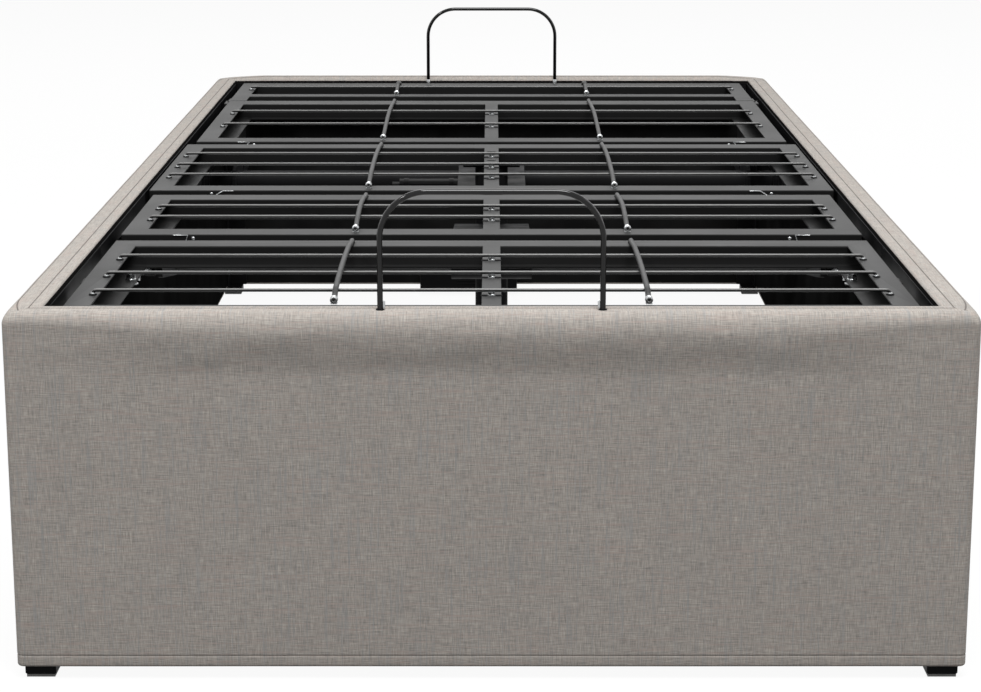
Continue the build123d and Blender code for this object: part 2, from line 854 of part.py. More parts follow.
# Back section, with the outer plates of the head hinge on spacers
outer_plate = deck_half + head_plate_thickness + head_plate_gap
back_end = back_start + back_length
with BuildPart() as back_frame:
    pressed_frame(back)
    hinge_ears(back_hinge_y, back_start, turning_ears, True)
    for x_range in both_sides(outer_plate, outer_plate + head_plate_thickness):
        head_plate(x_range, back_end, -1, False)
    for x_range in both_sides(deck_half, outer_plate):
        block(x_range, (back_end - head_plate_length, back_end - head_plate_depth),
              (head_hinge_z - head_plate_depth, head_hinge_z + head_plate_radius))
save(back_frame, "back_frame")
save_section_parts(back, "back")

with BuildPart() as head_hinge_pins:
    for low, high in both_sides(deck_half + head_plate_gap, outer_plate + head_plate_thickness):
        cross_prism(low, high, (head_hinge_y, head_hinge_z), head_pin_diameter / 2, pin_sides,
                    around=False)
    for low, high in both_sides(outer_plate + head_plate_thickness,
                                outer_plate + head_plate_thickness + pin_head_height / 2):
        cross_prism(low, high, (head_hinge_y, head_hinge_z), head_plate_radius, pin_head_sides)
save(head_hinge_pins, "head_hinge_pins")

# Head section, which tilts on the end of the back section
with BuildPart() as head_frame:
    pressed_frame(head)
    for x_range in both_sides(deck_half, deck_half + head_plate_thickness):
        head_plate(x_range, head_start, 1, True)
save(head_frame, "head_frame")
save_section_parts(head, "head")

# Lift rails: channels under the side rails, sloping away from the hinge
arm_outer = deck_half - arm_inset
cheek_inner = arm_outer + arm_gap
cheek_width = roller_width + 2 * (lift_cheek + roller_gap)
track_offset = (roller_radius + roller_gap) / cos(radians(lift_slope_angle))
web_rise = lift_web / cos(radians(lift_slope_angle))
frame_base_up = deck_base - hinge_z


def track_height(out):
    """Give the height, over the hinge, of the face that the roller runs under."""
    return track_offset - out * tan(radians(lift_slope_angle))


def lift_rails(lift):
    """Add both lift rails: a sloping web between two cheeks that hang from the frame."""
    end = roller_reach(lift) * cos(radians(lift_slope_angle)) + lift_end_margin
    web_start = (track_offset - frame_base_up) / tan(radians(lift_slope_angle))
    flush = web_start + web_rise / tan(radians(lift_slope_angle))
    web = [(web_start, frame_base_up), (flush, frame_base_up),
           (end, track_height(end) + web_rise), (end, track_height(end))]
    cheek = [(web_start, frame_base_up), (end, frame_base_up),
             (end, track_height(end) - lift_lip), (web_start, frame_base_up - lift_lip)]
    for outline, inner, width in (
        (web, cheek_inner, cheek_width),
        (cheek, cheek_inner, lift_cheek),
        (cheek, cheek_inner + cheek_width - lift_cheek, lift_cheek),
    ):
        for low, high in both_sides(inner, inner + width):
            with BuildSketch(Plane.YZ.offset(low)) as drawn:
                with BuildLine():
                    Polyline(*[lift_place(lift, out, up) for out, up in outline], close=True)
                make_face()
            extrude(drawn.sketch, amount=high - low)


with BuildPart() as back_lift_rails:
    lift_rails(back_lift)
save(back_lift_rails, "back_lift_rails")

with BuildPart() as thigh_lift_rails:
    lift_rails(leg_lift)
save(thigh_lift_rails, "thigh_lift_rails")

# Torsion tubes, with their arms, rollers and roller pins
tube_end = rail_inner - tube_end_gap
arm_inner = arm_outer - arm_thickness
roller_inner = cheek_inner + lift_cheek + roller_gap


def torsion_tube(lift):
    cross_pin(-tube_end, tube_end, arm_pivot(lift), tube_diameter / 2)
    cross_prism(-tube_end - overrun, tube_end + overrun, arm_pivot(lift),
                tube_diameter / 2 - tube_wall, arm_sides, Mode.SUBTRACT)


def lift_arms(lift):
    """Add the arms, and in each tip the shouldered pin that its roller turns on."""
    pivot = arm_pivot(lift)
    tip = roller_place(lift)
    for low, high in both_sides(arm_inner, arm_outer):
        with BuildSketch(Plane.YZ.offset(low)) as drawn:
            with Locations(pivot):
                polygon(arm_hub_radius, arm_sides)
            with Locations(tip):
                polygon(arm_tip_radius, arm_sides)
            make_hull()
            with Locations(pivot):
                polygon(tube_diameter / 2 + running_clearance, arm_sides, mode=Mode.SUBTRACT)
            with Locations((Vector(*pivot) + Vector(*tip)) / 2):
                polygon(arm_hole_radius, ear_sides, mode=Mode.SUBTRACT)
        extrude(drawn.sketch, amount=high - low)
    shoulder = roller_inner - roller_gap
    pin_end = roller_inner + roller_width + roller_gap
    for low, high in both_sides(arm_outer, shoulder):
        cross_prism(low, high, tip, roller_hub_radius, ear_sides)
    for low, high in both_sides(shoulder, pin_end):
        cross_pin(low, high, tip, roller_pin_diameter / 2)


def rollers(lift):
    for low, high in both_sides(roller_inner, roller_inner + roller_width):
        cross_pin(low, high, roller_place(lift), roller_radius)
        cross_pin(low, high, roller_place(lift),
                  roller_pin_diameter / 2 + running_clearance, Mode.SUBTRACT)


with BuildPart() as back_torsion_tube:
    torsion_tube(back_lift)
save(back_torsion_tube, "back_torsion_tube")

with BuildPart() as back_lift_arms:
    lift_arms(back_lift)
save(back_lift_arms, "back_lift_arms")

with BuildPart() as back_rollers:
    rollers(back_lift)
save(back_rollers, "back_rollers")

with BuildPart() as leg_torsion_tube:
    torsion_tube(leg_lift)
save(leg_torsion_tube, "leg_torsion_tube")

with BuildPart() as leg_lift_arms:
    lift_arms(leg_lift)
save(leg_lift_arms, "leg_lift_arms")

with BuildPart() as leg_rollers:
    rollers(leg_lift)
save(leg_rollers, "leg_rollers")

# Bearings and plastic bushes at the tubes' ends, on the chassis rails
bush_radius = tube_diameter / 2 + bush_wall
boss_end = rail_inner - bearing_flange
boss_start = boss_end - bearing_boss_length
with BuildPart() as tube_bearings:
    for lift in (back_lift, leg_lift):
        pivot_y, pivot_z = arm_pivot(lift)
        flange_z = (min(pivot_z - bearing_width / 2, rail_base), max(pivot_z + bearing_width / 2,
                                                                   rail_base + bearing_width / 2))
        for low, high in both_sides(boss_end, rail_inner):
            block((low, high), (pivot_y - bearing_width / 2, pivot_y + bearing_width / 2), flange_z)
        for low, high in both_sides(boss_start, boss_end):
            cross_prism(low, high, (pivot_y, pivot_z), bearing_boss_diameter / 2, arm_sides)
        for low, high in both_sides(boss_start - overrun, rail_inner):
            cross_prism(low, high, (pivot_y, pivot_z), bush_radius, arm_sides, Mode.SUBTRACT)
save(tube_bearings, "tube_bearings")

with BuildPart() as tube_bushes:
    for lift in (back_lift, leg_lift):
        for low, high in both_sides(boss_start, rail_inner):
            cross_prism(low, high, arm_pivot(lift), bush_radius, arm_sides)
        for low, high in both_sides(boss_start - overrun, rail_inner + overrun):
            cross_pin(low, high, arm_pivot(lift), tube_diameter / 2 + running_clearance, Mode.SUBTRACT)
save(tube_bushes, "tube_bushes")

# Links that keep the calf section level: as long as the thigh section is, hinge to hinge
with BuildPart() as calf_links:
    for low, high in both_sides(link_inner, link_inner + link_thickness):
        with BuildSketch(Plane.YZ.offset(low)):
            for place in (link_anchor_y, link_calf_y):
                with Locations((place, link_z)):
                    polygon(link_height / 2, arm_sides)
            make_hull()
            for place in (link_anchor_y, link_calf_y):
                with Locations((place, link_z)):
                    Circle(turning_hole, mode=Mode.SUBTRACT)
        extrude(amount=high - low)
save(calf_links, "calf_links")

with BuildPart() as link_anchor_pins:
    link_outer = link_inner + link_thickness
    for low, high in both_sides(link_inner - link_gap, rail_inner):
        cross_prism(low, high, (link_anchor_y, link_z), hinge_pin_diameter / 2, pin_sides,
                    around=False)
    for low, high in both_sides(link_outer + link_gap, rail_inner):
        cross_prism(low, high, (link_anchor_y, link_z), pin_head_diameter / 2, pin_head_sides)
    for low, high in both_sides(link_inner - link_gap - pin_head_height / 2, link_inner - link_gap):
        cross_prism(low, high, (link_anchor_y, link_z), pin_head_diameter / 2, pin_head_sides)
save(link_anchor_pins, "link_anchor_pins")

# Centre leg under the seat's far bar
with BuildPart() as centre_leg:
    with BuildSketch(Plane.XY.offset(leg_plug_height / 2)):
        with Locations((0, leg_y)):
            polygon(leg_diameter / 2, round_sides)
            polygon(leg_diameter / 2 - leg_wall, round_sides, mode=Mode.SUBTRACT)
    extrude(amount=deck_base - leg_plate_thickness - leg_plug_height / 2)
    block((-leg_plate_width / 2, leg_plate_width / 2), (leg_y - seat_far_bar / 2, leg_y + seat_far_bar / 2),
          (deck_base - leg_plate_thickness, deck_base))
save(centre_leg, "centre_leg")


# Drives: moulded housings hung on the torsion tubes, closed round the tube by a cap
def drive_body(lift, tail_y, tail_top):
    """Add a drive's whole shape: a round nose on the tube and a flat tail."""
    pivot = arm_pivot(lift)
    toward = 1 if tail_y > pivot[0] else -1
    tail_low = tail_top - drive_tail_height
    with BuildSketch(Plane.YZ.offset(-drive_width / 2)) as drawn:
        with Locations(pivot):
            Circle(drive_nose_radius)
        with Locations((tail_y - toward * drive_tail_height / 2, (tail_top + tail_low) / 2)):
            RectangleRounded(drive_tail_height, drive_tail_height, drive_fillet)
        make_hull()
    extrude(drawn.sketch, amount=drive_width)
    cross_pin(-drive_width, drive_width, pivot, tube_diameter / 2 + drive_bore_clearance, Mode.SUBTRACT)


leg_tail_y = arm_pivot(leg_lift)[0] + leg_drive_length
leg_tail_top = arm_pivot(leg_lift)[1] - leg_drive_tail_drop
back_tail_y = leg_y + leg_diameter / 2 + saddle_gap
back_tail_top = arm_pivot(back_lift)[1] + drive_nose_radius - back_drive_tail_drop


def drive_part(lift, tail_y, tail_top, body):
    """Give the tail side of a drive, its body, or the other side of the tube, its cap."""
    pivot_y = arm_pivot(lift)[0]
    toward = 1 if tail_y > pivot_y else -1
    keep = Keep.TOP if (toward > 0) == body else Keep.BOTTOM
    with BuildPart() as piece:
        drive_body(lift, tail_y, tail_top)
        split(bisect_by=Plane(origin=(0, pivot_y, 0), z_dir=(0, 1, 0)), keep=keep)
    return piece.part


with BuildPart() as leg_drive:
    add(drive_part(leg_lift, leg_tail_y, leg_tail_top, True))
save(leg_drive, "leg_drive")

with BuildPart() as back_drive:
    add(drive_part(back_lift, back_tail_y, back_tail_top, True))
save(back_drive, "back_drive")

with BuildPart() as drive_caps:
    add(drive_part(leg_lift, leg_tail_y, leg_tail_top, False))
    add(drive_part(back_lift, back_tail_y, back_tail_top, False))
save(drive_caps, "drive_caps")

leg_motor = (leg_tail_y - motor_back_set, leg_tail_top - drive_tail_height / 2)
back_motor = (back_tail_y + motor_back_set, back_tail_top - drive_tail_height / 2)
with BuildPart() as drive_motors:
    for place, side in ((leg_motor, 1), (back_motor, -1)):
        ends = sorted((side * drive_width / 2, side * (drive_width / 2 + motor_length)))
        cross_prism(ends[0], ends[1], place, motor_diameter / 2, round_sides)
        tip = side * (drive_width / 2 + motor_length)
        cap_ends = sorted((tip, tip + side * motor_cap_length))
        cross_prism(cap_ends[0], cap_ends[1], place, motor_diameter / 2 - drive_fillet, round_sides)
save(drive_motors, "drive_motors")

with BuildPart() as drive_brackets:
    block((-hanger_width / 2, hanger_width / 2), (leg_tail_y, leg_tail_y + hanger_thickness),
          (leg_tail_top - drive_tail_height / 2, deck_base))
    saddle_top = back_tail_top - (drive_tail_height - saddle_height) / 2
    block((-saddle_width / 2, saddle_width / 2), (leg_y, back_tail_y), (saddle_top - saddle_height, saddle_top))
    with BuildSketch(Plane.XY.offset(saddle_top - saddle_height - overrun)):
        with Locations((0, leg_y)):
            polygon(leg_diameter / 2 + running_clearance, round_sides)
    extrude(amount=saddle_height + 2 * overrun, mode=Mode.SUBTRACT)
save(drive_brackets, "drive_brackets")

# Control box on the inside of the head end's board
box_unit_back = box_length / 2 - panel_inner
with BuildPart() as control_box:
    with BuildSketch(Plane.XY.offset(box_unit_floor_gap)):
        with Locations((-box_unit_offset, box_unit_back - box_unit_depth / 2)):
            Rectangle(box_unit_width, box_unit_depth)
    extrude(amount=box_unit_height)
    front = control_box.faces().sort_by(Axis.Y)[0]
    fillet(front.edges(), box_unit_fillet)
    with BuildSketch(Plane.XY.offset(box_unit_floor_gap + box_unit_height)):
        with Locations((-box_unit_offset, box_unit_back - box_unit_depth / 2)):
            Rectangle(box_unit_width - 2 * box_unit_lid_margin, box_unit_depth - 2 * box_unit_lid_margin)
    extrude(amount=box_unit_lid)
save(control_box, "control_box")

# Mattress retainer bars: bent round bar, one in the foot rim and one at the head rim


def retainer(place, base):
    shoulder = base + retainer_height - retainer_diameter / 2 - retainer_radius
    middle = retainer_leg_x - retainer_radius
    left = [(-retainer_leg_x, place, base)]
    for step in range(retainer_bend_steps + 1):
        turn = radians(90 * step / retainer_bend_steps)
        left.append((-middle - retainer_radius * cos(turn), place, shoulder + retainer_radius * sin(turn)))
    right = [(-across, along, up) for across, along, up in reversed(left)]
    bent_bar(left + right, retainer_diameter / 2, retainer_sides)


with BuildPart() as foot_retainer:
    retainer(foot_retainer_y, foot_retainer_base)
save(foot_retainer, "foot_retainer")

with BuildPart() as head_retainer:
    retainer(head_retainer_y, head_retainer_base)
save(head_retainer, "head_retainer")

with BuildPart() as retainer_brackets:
    for low, high in both_sides(retainer_leg_x - retainer_diameter / 2 - foot_tab_width,
                                retainer_leg_x - retainer_diameter / 2):
        with BuildSketch(Plane.XZ.offset(-foot_retainer_y - foot_tab_thickness / 2)):
            with Locations(((low + high) / 2, rim_height + foot_tab_height / 2)):
                Rectangle(foot_tab_width, foot_tab_height)
        extrude(amount=foot_tab_thickness)
    with BuildSketch(Plane.XY.offset(head_retainer_base)):
        for side in (-1, 1):
            with Locations((side * retainer_leg_x, head_retainer_y)):
                polygon(retainer_diameter / 2 + retainer_fit + head_collar_wall, retainer_sides)
                polygon(retainer_diameter / 2 + retainer_fit, retainer_sides, mode=Mode.SUBTRACT)
    extrude(amount=head_collar_height)
save(retainer_brackets, "retainer_brackets")

for name, shown in (("back", back_lift), ("leg", leg_lift)):
    print(name, "arm pivot", arm_pivot(shown), "roller", roller_place(shown))
print("box", box_width, box_length, "rim", rim_height)
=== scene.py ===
from math import cos, pi, radians, sin, tan

import bmesh
import bpy
from mathutils import Matrix, Vector, noise


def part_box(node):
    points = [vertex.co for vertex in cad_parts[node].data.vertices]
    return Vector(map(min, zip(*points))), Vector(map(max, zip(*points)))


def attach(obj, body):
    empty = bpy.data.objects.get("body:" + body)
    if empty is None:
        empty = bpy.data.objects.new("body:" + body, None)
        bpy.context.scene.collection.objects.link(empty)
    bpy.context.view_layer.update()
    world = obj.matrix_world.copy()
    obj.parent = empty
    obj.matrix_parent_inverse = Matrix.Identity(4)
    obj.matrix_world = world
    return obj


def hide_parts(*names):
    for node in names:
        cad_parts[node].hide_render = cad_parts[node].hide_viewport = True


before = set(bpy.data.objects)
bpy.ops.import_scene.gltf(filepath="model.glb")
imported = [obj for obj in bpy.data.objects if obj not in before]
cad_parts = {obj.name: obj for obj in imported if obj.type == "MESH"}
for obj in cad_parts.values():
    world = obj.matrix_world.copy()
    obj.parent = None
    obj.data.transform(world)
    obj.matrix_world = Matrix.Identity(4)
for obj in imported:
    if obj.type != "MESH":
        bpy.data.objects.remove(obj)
bpy.ops.object.select_all(action="DESELECT")
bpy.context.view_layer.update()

# Wall boards. Four panels of 12 mm chipboard faced with black melamine stand inside the cover and are
# screwed to the corner angles. Thinner boards stiffen the sides, and pine rails, glued along the
# panels' tops, make the rim.


def linear(colour):
    """Turn an sRGB hex colour into linear light."""
    shares = [int(colour[place:place + 2], 16) / 255 for place in (1, 3, 5)]
    return (*[s / 12.92 if s <= 0.04045 else ((s + 0.055) / 1.055) ** 2.4 for s in shares], 1)


def add(tree, kind, inputs=None, **settings):
    """Add a node with its settings. An input takes a number, a colour or another node's output."""
    made = tree.nodes.new("ShaderNode" + kind)
    for setting, value in settings.items():
        setattr(made, setting, value)
    for socket, value in (inputs or {}).items():
        if isinstance(value, bpy.types.NodeSocket):
            tree.links.new(value, made.inputs[socket])
        else:
            made.inputs[socket].default_value = value
    return made


def start_material(name, colour, roughness, metallic=0.0):
    """Start a material, and give it with its node tree and shader."""
    made = bpy.data.materials.new(name)
    made.use_nodes = True
    shader = made.node_tree.nodes["Principled BSDF"]
    shader.inputs["Base Color"].default_value = linear(colour)
    shader.inputs["Roughness"].default_value = roughness
    shader.inputs["Metallic"].default_value = metallic
    return made, made.node_tree, shader


def coat(material, *nodes):
    """Give CAD nodes a material."""
    for name in nodes:
        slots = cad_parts[name].data.materials
        slots.clear()
        slots.append(material)


# Melamine paper, pressed on chipboard: a dull near-black, clouded where the press plate was worn, with a
# faint pearled grain of about 1 mm.
melamine, tree, shader = start_material("Black melamine on chipboard", "#191817", 0.8)
shader.inputs["Specular IOR Level"].default_value = 0.0
spot = add(tree, "TexCoord").outputs["Object"]
pearl = add(tree, "TexNoise", {"Vector": spot, "Scale": 1 / 0.0012, "Detail": 2.0}).outputs["Fac"]
wear_and_painted_light = add(tree, "TexNoise", {"Vector": spot, "Scale": 1 / 0.09, "Detail": 3.0}).outputs["Fac"]
cloud = add(tree, "MapRange", {"Value": wear_and_painted_light, "From Min": 0.35, "From Max": 0.7}).outputs["Result"]
tone = add(tree, "MixRGB", {"Fac": cloud, "Color1": linear("#1e1e1e"), "Color2": linear("#292929")})
tree.links.new(tone.outputs["Color"], shader.inputs["Base Color"])
raised = add(tree, "Bump", {"Height": pearl, "Strength": 0.25, "Distance": 0.0002})
tree.links.new(raised.outputs["Normal"], shader.inputs["Normal"])
coat(melamine, "foot_panel", "head_panel", "side_panels", "side_stiffeners")

# Planed pine: pale yellow-brown with darker growth rings about 4 mm apart, drawn out along the rail.
pine, tree, shader = start_material("Planed pine", "#b8925f", 0.6)
spot = add(tree, "TexCoord").outputs["Object"]
ring = add(tree, "TexNoise", {"Vector": add(tree, "Mapping", {"Vector": spot, "Scale": (250, 12, 250)})
                              .outputs["Vector"], "Scale": 1.0, "Detail": 4.0}).outputs["Fac"]
late = add(tree, "MapRange", {"Value": ring, "From Min": 0.42, "From Max": 0.62}).outputs["Result"]
wood = add(tree, "MixRGB", {"Fac": late, "Color1": linear("#c4a06c"), "Color2": linear("#96703f")})
tree.links.new(wood.outputs["Color"], shader.inputs["Base Color"])
raised = add(tree, "Bump", {"Height": ring, "Strength": 0.2, "Distance": 0.0004})
tree.links.new(raised.outputs["Normal"], shader.inputs["Normal"])


def pick_faces(piece, wanted):
    """Select, in edit mode, only the faces whose middle and normal pass a test."""
    bpy.ops.object.mode_set(mode="OBJECT")
    for part in (piece.data.vertices, piece.data.edges, piece.data.polygons):
        part.foreach_set("select", [False] * len(part))
    for face in piece.data.polygons:
        face.select = wanted(face.center, face.normal)
    bpy.ops.object.mode_set(mode="EDIT")


def start_piece(name, add_primitive, **settings):
    """Add one primitive alone in the selection, name it and start editing its faces."""
    bpy.ops.object.select_all(action="DESELECT")
    add_primitive(**settings)
    piece = bpy.context.active_object
    piece.name = piece.data.name = name
    bpy.ops.object.transform_apply(location=True, rotation=True, scale=True)
    bpy.ops.object.mode_set(mode="EDIT")
    bpy.ops.mesh.select_mode(type="FACE")
    return piece


def activate(piece):
    bpy.ops.object.select_all(action="DESELECT")
    bpy.context.view_layer.objects.active = piece
    piece.select_set(True)


def smooth(piece, angle=35):
    """Shade a piece's rounded parts smooth and keep its folded edges."""
    activate(piece)
    bpy.ops.object.shade_smooth_by_angle(angle=radians(angle))


def round_edges(piece, width, segments=2, angle=35):
    """Leave edit mode and round the piece's edges with an applied bevel."""
    bpy.ops.object.mode_set(mode="OBJECT")
    activate(piece)
    edge = piece.modifiers.new("edge", "BEVEL")
    edge.width, edge.segments, edge.limit_method = width, segments, "ANGLE"
    edge.angle_limit = radians(angle)
    bpy.ops.object.modifier_apply(modifier="edge")
    return piece


def join(name, *pieces):
    """Join pieces in one mesh under a name."""
    bpy.ops.object.select_all(action="DESELECT")
    for piece in pieces:
        piece.select_set(True)
    bpy.context.view_layer.objects.active = pieces[0]
    bpy.ops.object.join()
    pieces[0].name = pieces[0].data.name = name
    return pieces[0]


def repeat(piece, moves):
    """Put a copy of a piece's mesh at each move, mirrored across the bed where a move says so."""
    made = bmesh.new()
    for move in moves:
        copy = piece.data.copy()
        copy.transform(Matrix.Translation(move[:3]))
        if len(move) > 3:
            copy.transform(Matrix.Scale(-1, 4, (1, 0, 0)))
            copy.flip_normals()
        made.from_mesh(copy)
        bpy.data.meshes.remove(copy)
    made.to_mesh(piece.data)
    made.free()
    return piece


def dress(piece, material, body, slot, *nodes, angle=35):
    """Finish a new piece: material, shading, body and the CAD nodes it stands for; slot is not used."""
    piece.data.materials.clear()
    piece.data.materials.append(material)
    smooth(piece, angle)
    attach(piece, body)
    if nodes:
        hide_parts(*nodes)


for node in ("end_rim_rails", "side_rim_rails"):
    low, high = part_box(node)
    along = 0 if node == "end_rim_rails" else 1
    out = 1 - along
    size = [high.x - low.x, high.y - low.y, 0.0125]
    size[out] = 0.031
    spot = [0, 0, 0.4113]
    spot[out] = high[out] - 0.0015 - size[out] / 2
    plank = start_piece(node + "_plank", bpy.ops.mesh.primitive_cube_add, size=1, scale=size, location=spot)
    bpy.ops.mesh.select_all(action="SELECT")
    edge, slope = Vector((0, 0, 0.4175)), Vector((0, 0, 0.8))
    edge[out], slope[out] = high[out] - 0.0075, 0.6
    bpy.ops.mesh.bisect(plane_co=edge, plane_no=slope, clear_outer=True, use_fill=True)
    round_edges(plank, 0.0008)
    other = plank.data.copy()
    other.transform(Matrix.Scale(-1, 4, [float(out == axis) for axis in range(3)]))
    other.flip_normals()
    far = bpy.data.objects.new(node + "_far", other)
    bpy.context.scene.collection.objects.link(far)
    plank = join(node + "_planks", plank, far)
    dress(plank, pine, "base", "rim_board", node)

# Cloth covers. Woven polyester with a linen look is glued over thin foam on each wall. It is sewn at
# the corners, padded to a soft roll along the top, stitched twice along the rim, tucked down inside
# and hemmed along the bottom, so each wall's piece is a taut shell round the boards.

MM = 0.001
wall_half = {"foot": 535, "head": 535, "left": 1065, "right": 1065}
wall_place = {"foot": ((0, -1065), (0, 1)), "head": ((0, 1065), (0, -1)),
              "left": ((-535, 0), (1, 0)), "right": ((535, 0), (-1, 0))}
corner_radius = 9.0
cloth_step = 8.0
roll_start = 350.0
roll_bulge = {"foot": 4.6, "head": 4.6, "left": 2.8, "right": 2.8}
seam_depth = 0.55
rim_seams = {"foot": (24.5, 27.0), "head": (24.5, 27.0), "left": (8.0, 26.5), "right": (8.0, 26.5)}
hem_seam = 28.5
rim_fullness = {"foot": 0.0, "head": 5.5, "left": 0.0, "right": 0.0}


def seam_dip(distance):
    """Give how far a stitched seam pulls the cloth in, 0 to 1, and how near its thread is, 0 to 1."""
    return max(0.0, 1 - abs(distance) / 1.5) ** 1.5, max(0.0, 1 - abs(distance) / 1.1)


def rim_puff(depth, fullness):
    """Give how far the padding lifts the rim over its board."""
    return fullness * sin(pi * min(max((depth + 3) / 44, 0.0), 1.0))


def rim_height_at(depth, across, over, shoulder):
    """Give the rim's height at a depth: the roll's curve outside, and a slight crown inside it."""
    if depth < 10.4:
        return shoulder + over * (1 - min((10.4 - depth) / across, 1) ** 2) ** 0.5
    return shoulder + over - 0.5 * ((depth - 24) / 14) ** 2 * min((depth - 10.4) / 3, 1)


def cloth_profile(bulge, swell, seams, corner, fullness):
    """List the cloth's outline across a wall: depth inwards, height and thread, outside face first."""
    outer = [(15, 15, 0), (9, 15, 0)]
    for turn in range(0, 91, 15):
        outer.append((3 - 3 * sin(radians(turn)), 18 - 3 * cos(radians(turn)), 0))
    heights = sorted({*[23.0 + cloth_step * step for step in range(41)],
                      *[hem_seam + off for off in (-3, -1.5, -0.9, -0.4, 0, 0.4, 0.9, 1.5, 3)]})
    for height in heights:
        dip, thread = seam_dip(height - hem_seam)
        outer.append((seam_depth * dip, height, 0.35 * thread))
    shoulder = 410.0 - 12.0 * swell
    for step in range(17):
        rise = step / 16
        outer.append((-bulge * swell * rise * rise * (3 - 2 * rise),
                      roll_start + rise * (shoulder - roll_start), 0))
    across, over = 10.4 + bulge * swell, 423.4 - shoulder
    for turn in range(5, 50, 5):
        depth = 10.4 - across * cos(radians(turn))
        outer.append((depth, rim_height_at(depth, across, over, shoulder), 0))
    near = [seam + off for seam in sorted(seams) for off in (-2.2, -1.5, -0.8, -0.3, 0, 0.3, 0.8, 1.5, 2.2)]
    start = 10.4 - across * cos(radians(48))
    for depth in sorted([start + (35.5 - start) * step / 13 for step in range(14)] + near):
        outer.append((depth, rim_height_at(depth, across, over, shoulder), 0))
    for turn in range(0, 91, 15):
        outer.append((37.2 + 2.8 * sin(radians(turn)), 420 + 2.8 * cos(radians(turn)), 0))
    outer += [(40, 415, 0), (40, 409, 0), (40, 405, 0)]
    inner = [(37.3, 405, 0), (37.3, 419.6, 0), (4.7, 417.6, 0), (2.7, 407, 0), (2.7, 17.7, 0), (15, 17.7, 0)]
    sewn = []
    for depth, height, thread in outer:
        if height > 415 and depth < 38:
            for seam in seams:
                dip, close = seam_dip(depth - seam)
                height, thread = height - seam_depth * dip * (1.0 if dip > 0.99 else 0.7), max(thread, close)
        if height > 412:
            height += rim_puff(depth, fullness)
        if height > 400:
            height -= 3.4 * corner * max(1 - depth / 24, 0) * min((height - 400) / 16, 1)
        sewn.append((depth, height, thread))
    return sewn, inner


def wall_stations(half):
    """List the cloth's places along a wall: corner angle at that end, or the share of the straight."""
    turns = [45, 36, 27, 18, 9]
    count = int(2 * half / cloth_step)
    run = [step / count for step in range(count + 1)]
    near = [0.4 / half, 1.0 / half, 1.7 / half]
    run = sorted(run + near + [1 - share for share in near])
    return [(-1, t, 0) for t in turns] + [(0, 0, share) for share in run] + [(1, t, 1) for t in turns[::-1]]


def cloth_point(half, depth, station):
    """Give a point's place along the wall and its depth, with the corner rounded about one centre."""
    side, turn, share = station
    radius = max(corner_radius - depth, 0.8)
    reach = half - depth - radius
    if side == 0:
        return -reach + 2 * reach * share, depth
    return side * (reach + radius * sin(radians(turn))), depth + radius * (1 - cos(radians(turn)))


def slack(along, height, half, seed):
    """Give how far the cloth stands out of true: soft waves in the padded roll, long ones below it."""
    fade = min(max((half - abs(along) - 8) / 40, 0.0), 1.0)
    roll = min(max((height - 345) / 30, 0.0), 1.0)
    wave = 0.45 * noise.noise((along / 330, height / 150, seed))
    wave += 0.22 * noise.noise((along / 90 + height / 160, height / 60, seed + 7.1))
    wave += roll * 0.7 * noise.noise((along / 62, height / 26, seed + 3.7))
    return fade * wave


def sew_cover(wall, seed):
    """Make one wall's cover as a closed shell with its own weave coordinates in metres."""
    half = wall_half[wall]
    (at_x, at_y), (in_x, in_y) = wall_place[wall]
    stations = wall_stations(half)
    rows, lengths, threads = [], [], []
    for station in stations:
        row, run, last = [], 0.0, None
        from_corner = half - abs(cloth_point(half, 0, station)[0])
        swell = min(max((from_corner - 6) / 230, 0.0), 1.0)
        turned = min(max(1 - from_corner / 85, 0.0), 1.0) ** 2
        seams = [seam + (19.0 - seam) * turned if seam < 10 else seam for seam in rim_seams[wall]]
        full = rim_fullness[wall] * min(max((from_corner - 15) / 70, 0.0), 1.0) ** 0.7
        outer, inner = cloth_profile(roll_bulge[wall], swell * swell * (3 - 2 * swell), seams,
                                     max(1 - from_corner / 30, 0.0) ** 2, full)
        for index, (depth, height, thread) in enumerate(outer + inner):
            along, deep = cloth_point(half, depth, station)
            if index < len(outer):
                deep -= slack(along, height, half, seed) * (1.0 if height < 404 else 0.3)
            near_end = half - abs(along)
            if index < len(outer) and 22 < height < 412 and depth < 6 and station[0] == 0:
                deep += 0.3 * seam_dip(near_end - corner_radius - 1.2)[0]
            if last:
                run += ((depth - last[0]) ** 2 + (height - last[1]) ** 2) ** 0.5
            last = (depth, height)
            row.append(((at_x + along * in_y + deep * in_x) * MM, (at_y - along * in_x + deep * in_y) * MM,
                        height * MM))
            lengths.append(((along if station[0] == 0 else station[0] * (half - corner_radius
                             + radians(station[1]) * corner_radius)) * MM + seed, run * MM))
            threads.append(thread)
        rows.append(row)
    count = len(rows[0])
    faces = []
    for place in range(len(rows) - 1):
        for index in range(count):
            after = (index + 1) % count
            faces.append((place * count + index, (place + 1) * count + index,
                          (place + 1) * count + after, place * count + after))
    faces.append(tuple(range(count)))
    faces.append(tuple((len(rows) - 1) * count + index for index in reversed(range(count))))
    shell = bpy.data.meshes.new(wall + "_cloth")
    shell.from_pydata([point for row in rows for point in row], [], faces)
    weave = shell.uv_layers.new(name="weave")
    for loop in shell.loops:
        weave.data[loop.index].uv = lengths[loop.vertex_index]
    stitched = shell.attributes.new("thread", "FLOAT", "POINT")
    stitched.data.foreach_set("value", threads)
    shell.validate()
    made = bpy.data.objects.new(wall + "_cloth", shell)
    bpy.context.scene.collection.objects.link(made)
    return made


